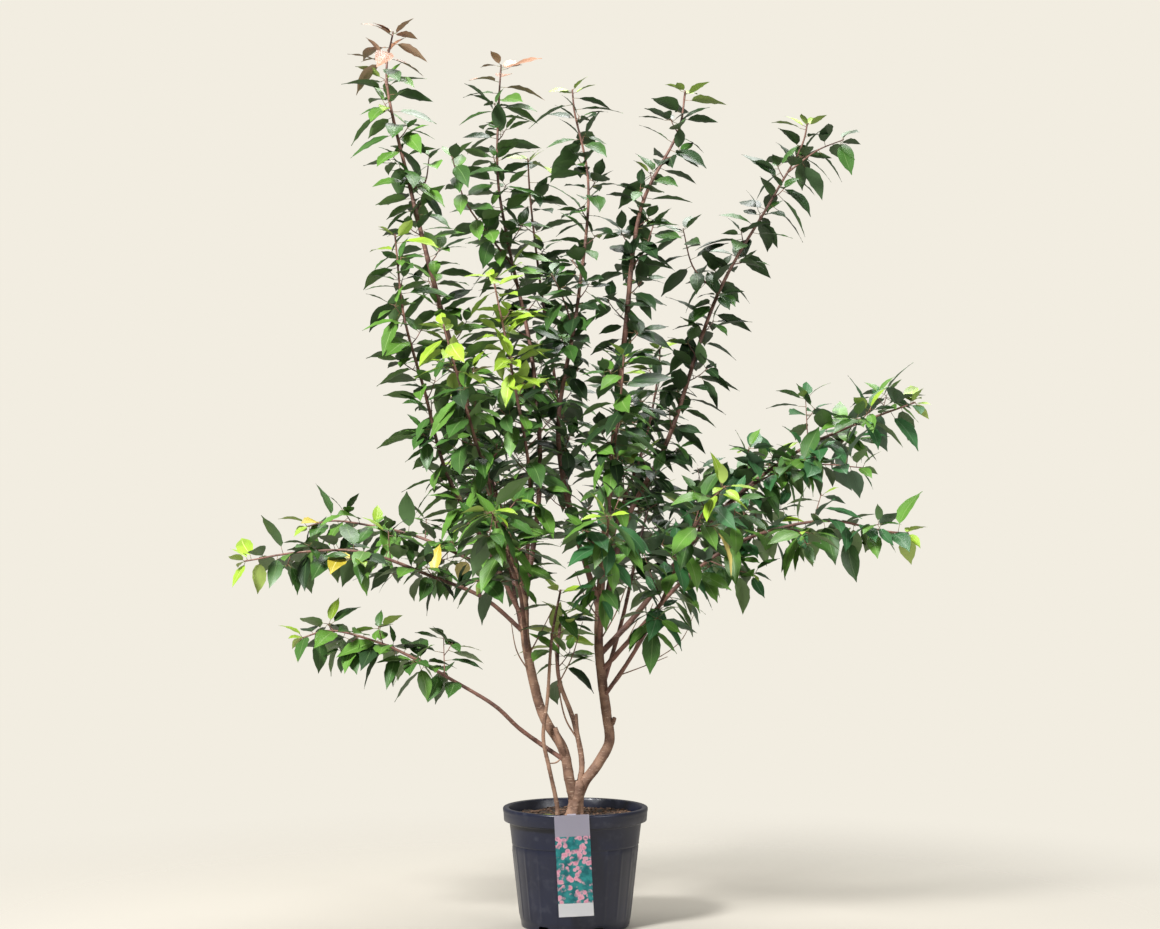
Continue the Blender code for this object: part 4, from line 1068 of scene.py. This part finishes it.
def pot_profile():
    """The pot's section, up its outer side, over the rolled lip and down inside."""
    outer = [(0.0, 0.0)]
    outer += near(POT_FOOT_RADIUS, 0.0, ((-0.010, 0.0), (-0.0035, 0.0008), (-0.0012, 0.0030)))
    outer += near(wall_radius(FOOT_STEP), FOOT_STEP, ((-0.0012, -0.001), (0.0, 0.001)))
    outer += [(wall_radius(height), height) for height in np.linspace(RIB_FOOT, WALL_TOP, WALL_STEPS)]
    outer += near(wall_radius(BAND), BAND,
                  ((-0.0016, -0.0018), (0.0, -0.0004), (0.0004, 0.001), (0.0002, 0.004)))
    outer += near(POT_BODY_RADIUS, SKIRT, ((-0.0002, -0.006), (0.0016, -0.004), (0.0022, 0.002)))
    outer += [(POT_MOUTH_RADIUS - 0.001, LIP_HOLLOW), (POT_RIM_RADIUS - 0.0045, LIP_HOLLOW)]
    outer += near(POT_RIM_RADIUS, SKIRT,
                  ((-0.0055, 0.0008), (-0.0050, 0.0), (-0.0036, 0.0), (-0.0030, 0.0010)))
    outer += near(POT_RIM_RADIUS, POT_HEIGHT, ((-0.0016, -0.016), (-0.0010, -0.0125), (-0.0004, -0.010)))
    outer += [(POT_RIM_RADIUS - LIP_ROUND + LIP_ROUND * math.cos(turn),
               POT_HEIGHT - LIP_ROUND + LIP_ROUND * math.sin(turn))
              for turn in np.linspace(0.0, math.pi / 2, 6)]
    inner = near(POT_MOUTH_RADIUS, POT_HEIGHT, ((0.0015, -0.0004), (-0.0015, -0.0016), (-0.0035, -0.005)))
    inner += [(POT_BODY_RADIUS - POT_WALL, SKIRT), (POT_FOOT_RADIUS - POT_WALL, POT_FLOOR), (0.0, POT_FLOOR)]
    return outer + inner


def spun(profile, steps):
    """A solid of revolution from a section of (radius, height)."""
    mesh = bmesh.new()
    corners = [mesh.verts.new((radius, 0.0, height)) for radius, height in profile]
    edges = [mesh.edges.new(pair) for pair in zip(corners, corners[1:])]
    bmesh.ops.spin(mesh, geom=corners + edges, axis=UP, cent=(0, 0, 0), angle=math.tau, steps=steps,
                   use_merge=True, use_duplicate=False)
    bmesh.ops.remove_doubles(mesh, verts=mesh.verts, dist=MERGE_GAP)
    bmesh.ops.recalc_face_normals(mesh, faces=mesh.faces)
    return mesh


def rib_share(turn):
    """How far a place round the pot stands on a rib, from 0 to 1."""
    spacing = math.tau / RIB_COUNT
    away = (turn - RIB_TURN + spacing / 2) % spacing - spacing / 2
    return max(0.0, 1.0 - abs(away) * POT_FOOT_RADIUS / RIB_WIDTH)


def raise_ribs(mesh):
    """Swell the outer wall along the ribs, which fade in from the foot and out below the band."""
    for corner in mesh.verts:
        radius = math.hypot(corner.co.x, corner.co.y)
        height = corner.co.z
        if RIB_FOOT < height < RIB_TOP and radius > wall_radius(height) - OUTER_SKIN:
            turn = math.atan2(corner.co.x, -corner.co.y)
            fade = min(1.0, (height - RIB_FOOT) / RIB_FADE, (RIB_TOP - height) / RIB_FADE + RIB_TOP_SHARE)
            rise = RIB_RISE * rib_share(turn) * max(0.0, fade)
            corner.co.x *= 1.0 + rise / radius
            corner.co.y *= 1.0 + rise / radius


def notch_cutter(turn):
    """A block with round upper corners, across the wall at the foot."""
    cutter = bmesh.new()
    bmesh.ops.create_cube(cutter, size=1.0)
    bmesh.ops.scale(cutter, verts=cutter.verts, vec=(NOTCH_WIDTH, NOTCH_DEPTH, NOTCH_HEIGHT + 2 * NOTCH_SINK))
    upper = [edge for edge in cutter.edges if edge.verts[0].co.y * edge.verts[1].co.y < 0
             and edge.verts[0].co.z > 0]
    bmesh.ops.bevel(cutter, geom=upper, offset=NOTCH_CORNER, segments=4, profile=0.5, affect="EDGES",
                    material=-1)
    spot = (0.0, -POT_FOOT_RADIUS, NOTCH_HEIGHT / 2 - NOTCH_SINK)
    bmesh.ops.translate(cutter, verts=cutter.verts, vec=spot)
    bmesh.ops.rotate(cutter, verts=cutter.verts, cent=(0, 0, 0), matrix=Matrix.Rotation(turn, 3, "Z"))
    return cutter


def make_pot(material):
    """The moulded pot with its ribs, and drain notches cut round the foot."""
    mesh = spun(pot_profile(), RIB_COUNT * RIB_STEPS)
    raise_ribs(mesh)
    pot = place(mesh, "moulded_pot", material, smooth_shaded=False)
    cut(pot, [notch_cutter(NOTCH_TURN + math.tau * index / NOTCH_COUNT) for index in range(NOTCH_COUNT)])
    pot.data.shade_smooth()
    pot.data.set_sharp_from_angle(angle=SHARP_ANGLE)
    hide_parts("pot")


def cut(item, cutters):
    """Cut pieces out of an item and remove them."""
    tools = bpy.data.collections.new("cutters")
    bpy.context.scene.collection.children.link(tools)
    for mesh in cutters:
        tools.objects.link(bpy.data.objects.new("cutter", settle(mesh, "cutter")))
    modifier = item.modifiers.new("Cut", "BOOLEAN")
    modifier.operation = "DIFFERENCE"
    modifier.operand_type = "COLLECTION"
    modifier.collection = tools
    ready = item.evaluated_get(bpy.context.evaluated_depsgraph_get())
    joined = bpy.data.meshes.new_from_object(ready)
    item.modifiers.clear()
    item.data = joined
    for piece in list(tools.objects):
        bpy.data.objects.remove(piece)
    bpy.data.collections.remove(tools)


def soil_rise(spot, reach):
    """The soil's height over its level: slow waves, and a mound round the trunk."""
    return SOIL_WAVE * noise.noise(spot * SOIL_WAVE_SCALE) + MOUND_RISE * max(0.0, 1.0 - reach / MOUND_REACH)


def lay(whole, piece, turned, spot):
    """Turn a small piece, move it to its spot and join it to a whole."""
    bmesh.ops.rotate(piece, verts=piece.verts, cent=(0, 0, 0), matrix=turned)
    bmesh.ops.translate(piece, verts=piece.verts, vec=spot)
    join_into(whole, piece)


def make_soil():
    """Uneven potting soil with bark chips and a patch of moss."""
    rim = wall_radius(SOIL_TOP) - POT_WALL - SOIL_CLEAR
    section = [(0.0, SOIL_TOP - SOIL_DEPTH), (rim - SOIL_FOOT_STEP, SOIL_TOP - SOIL_DEPTH)]
    section += [(radius, SOIL_TOP) for radius in np.linspace(rim, 0.0, SOIL_RINGS)]
    mesh = spun(section, SOIL_TURNS)
    for corner in mesh.verts:
        if corner.co.z > SOIL_TOP - SOIL_SKIN:
            spot = Vector((corner.co.x, corner.co.y, 0.0))
            crumbs = SOIL_CRUMB * noise.noise(spot * SOIL_CRUMB_SCALE)
            corner.co.z += soil_rise(spot, spot.length) + crumbs
    soil = place(mesh, "potting_soil", earth_material("Soil", *SOIL_COLOURS))
    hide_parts("soil")
    random = np.random.default_rng(SEED + 1)
    chips = scatter_chips(random, rim)
    moss = scatter_moss(random)


def scatter_chips(random, rim):
    """Flat lumps of bark on the soil."""
    chips = bmesh.new()
    for _ in range(CHIP_COUNT):
        radius = rim * math.sqrt(random.uniform(*CHIP_AREA))
        turn = random.uniform(0.0, math.tau)
        chip = bmesh.new()
        bmesh.ops.create_icosphere(chip, subdivisions=1, radius=0.5)
        size = Vector([random.uniform(*ends) for ends in CHIP_SIZES])
        bmesh.ops.scale(chip, verts=chip.verts, vec=size)
        tilt = Matrix.Rotation(random.uniform(-CHIP_TILT, CHIP_TILT), 3, "X")
        tilt = tilt @ Matrix.Rotation(random.uniform(0, 6.28), 3, "Z")
        spot = Vector((radius * math.cos(turn), radius * math.sin(turn), 0.0))
        rise = soil_rise(spot, radius) + CHIP_RISE
        lay(chips, chip, tilt, spot + Vector((0.0, 0.0, SOIL_TOP + rise)))
    return place(chips, "bark_chips", earth_material("Bark chips", *CHIP_COLOURS), False)


def scatter_moss(random):
    """A cushion of small leaning tufts."""
    moss = bmesh.new()
    for _ in range(MOSS_COUNT):
        turn = random.uniform(0.0, math.tau)
        reach = math.sqrt(random.uniform(0.0, 1.0))
        spot = Vector((MOSS_CENTRE[0] + MOSS_REACH[0] * reach * math.cos(turn),
                       MOSS_CENTRE[1] + MOSS_REACH[1] * reach * math.sin(turn),
                       SOIL_TOP + MOSS_RISE + MOSS_SWELL * (1.0 - reach)))
        tuft = bmesh.new()
        bmesh.ops.create_cone(tuft, cap_ends=True, segments=5, radius1=TUFT_RADII[0], radius2=TUFT_RADII[1],
                              depth=random.uniform(*TUFT_HEIGHTS))
        lean = Matrix.Rotation(random.uniform(-TUFT_LEAN, TUFT_LEAN), 3, "X")
        lean = lean @ Matrix.Rotation(random.uniform(-TUFT_LEAN, TUFT_LEAN), 3, "Y")
        lay(moss, tuft, lean, spot)
    return place(moss, "moss", earth_material("Moss", *MOSS_COLOURS, roughness=0.85), False)


def thicken(mesh, thickness, spot):
    """Give a sheet its thickness and move it to its spot."""
    bmesh.ops.solidify(mesh, geom=mesh.faces[:], thickness=thickness)
    bmesh.ops.recalc_face_normals(mesh, faces=mesh.faces)
    bmesh.ops.transform(mesh, matrix=spot, verts=mesh.verts)


def make_card():
    """The printed card, curled a little, with its hook over the rim."""
    spot = Matrix.Translation((CARD_SIDE, -POT_RIM_RADIUS - CARD_CLEAR, CARD_TOP))
    spot = spot @ Matrix.Rotation(-CARD_LEAN, 4, "Y")
    sheet = mapped_grid(8, 24)
    for corner in sheet.verts:
        across = corner.co.x
        curl = CARD_CURL * (across * 2) ** 2
        corner.co = (across * CARD_WIDTH, curl - CARD_THICK, (corner.co.y - 0.5) * CARD_HEIGHT)
    thicken(sheet, CARD_THICK, spot)
    card = place(sheet, "care_card_print", print_material(), smooth_shaded=False)
    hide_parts("care_card")
    strip = bmesh.new()
    bmesh.ops.create_grid(strip, x_segments=4, y_segments=16, size=0.5)
    for corner in strip.verts:
        run = (corner.co.y + 0.5) * (HOOK_REACH + HOOK_DROP)
        drop = max(0.0, run - HOOK_REACH + HOOK_BEND)
        corner.co = (corner.co.x * HOOK_WIDTH, min(run, HOOK_REACH - HOOK_BEND), HOOK_RISE - drop)
    thicken(strip, HOOK_THICK, spot)
    paper, tree, shader, vector = start_material("Card hook", roughness=0.4)
    tone, _ = mottle(tree, vector, 60.0, (LAVENDER, PALE_LAVENDER))
    feed_all(tree, shader, Base_Color=tone)
    hook = place(strip, "card_hook", paper, smooth_shaded=False)


def make_floor():
    """A pale floor that fades out into the surround."""
    mesh = bmesh.new()
    bmesh.ops.create_circle(mesh, cap_ends=True, segments=96, radius=FLOOR_RADIUS)
    material, tree, shader, vector = start_material("Floor", roughness=0.9)
    reach = tree.nodes.new("ShaderNodeVectorMath")
    reach.operation = "LENGTH"
    tree.links.new(vector, reach.inputs[0])
    fade = ramp(tree, reach.outputs["Value"], *FLOOR_FADE, low=1.0, high=0.0, curve="SMOOTHSTEP")
    feed_all(tree, shader, Alpha=fade, Base_Color=FLOOR_COLOUR)
    data = settle(mesh, "floor")
    data.materials.append(material)
    stand("floor", data)


def make_surround():
    """A pale surround, brighter to the camera than as a light."""
    world = bpy.data.worlds.new("Studio")
    bpy.context.scene.world = world
    tree = node_tree(world)
    seen = tree.nodes.new("ShaderNodeLightPath").outputs["Is Camera Ray"]
    feed_all(tree, tree.nodes["Background"], Color=SURROUND_COLOUR,
             Strength=ramp(tree, seen, 0.0, 1.0, low=SURROUND_LIGHT))


def make_stage():
    """Floor, surround, soft lights and the camera."""
    make_floor()
    make_surround()
    for name, spot, size, energy in LAMPS:
        lamp = bpy.data.lights.new(name, "AREA")
        lamp.size = size
        lamp.energy = energy
        item = stand(name, lamp)
        item.location = spot
        item.rotation_euler = (Vector(LAMP_AIM) - Vector(spot)).to_track_quat("-Z", "Y").to_euler()
    camera = bpy.data.cameras.new("Camera")
    camera.sensor_width = SENSOR
    camera.lens = FOCAL_PIXELS / FRAME_WIDTH * SENSOR
    item = stand("Camera", camera)
    item.location = CAMERA_PLACE
    item.rotation_euler = (math.radians(90.0), 0.0, 0.0)
    bpy.context.scene.camera = item
    bpy.context.scene.view_settings.view_transform = "Standard"


MOTTLE = make_mottle_group()
make_stage()
plant = Plant()
masses = [Foliage(plant, limb, index) for index, limb in enumerate(LIMBS)]
for mass in masses:
    mass.grow()
leaves = [leaf for mass in masses for leaf in mass.leaves]
bark = bark_material("Bark", *BARK_COLOURS)
shoot_bark = bark_material("Shoot bark", *SHOOT_BARK_COLOURS, roughness=0.6)
make_bark(plant, bark, shoot_bark)
foliage_nodes = ["foliage_" + limb.name for limb in LIMBS]
for item in make_twigs(masses, shoot_bark) + make_leaves(leaves):
    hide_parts(*foliage_nodes)
make_pot(plastic_material())
make_soil()
make_card()
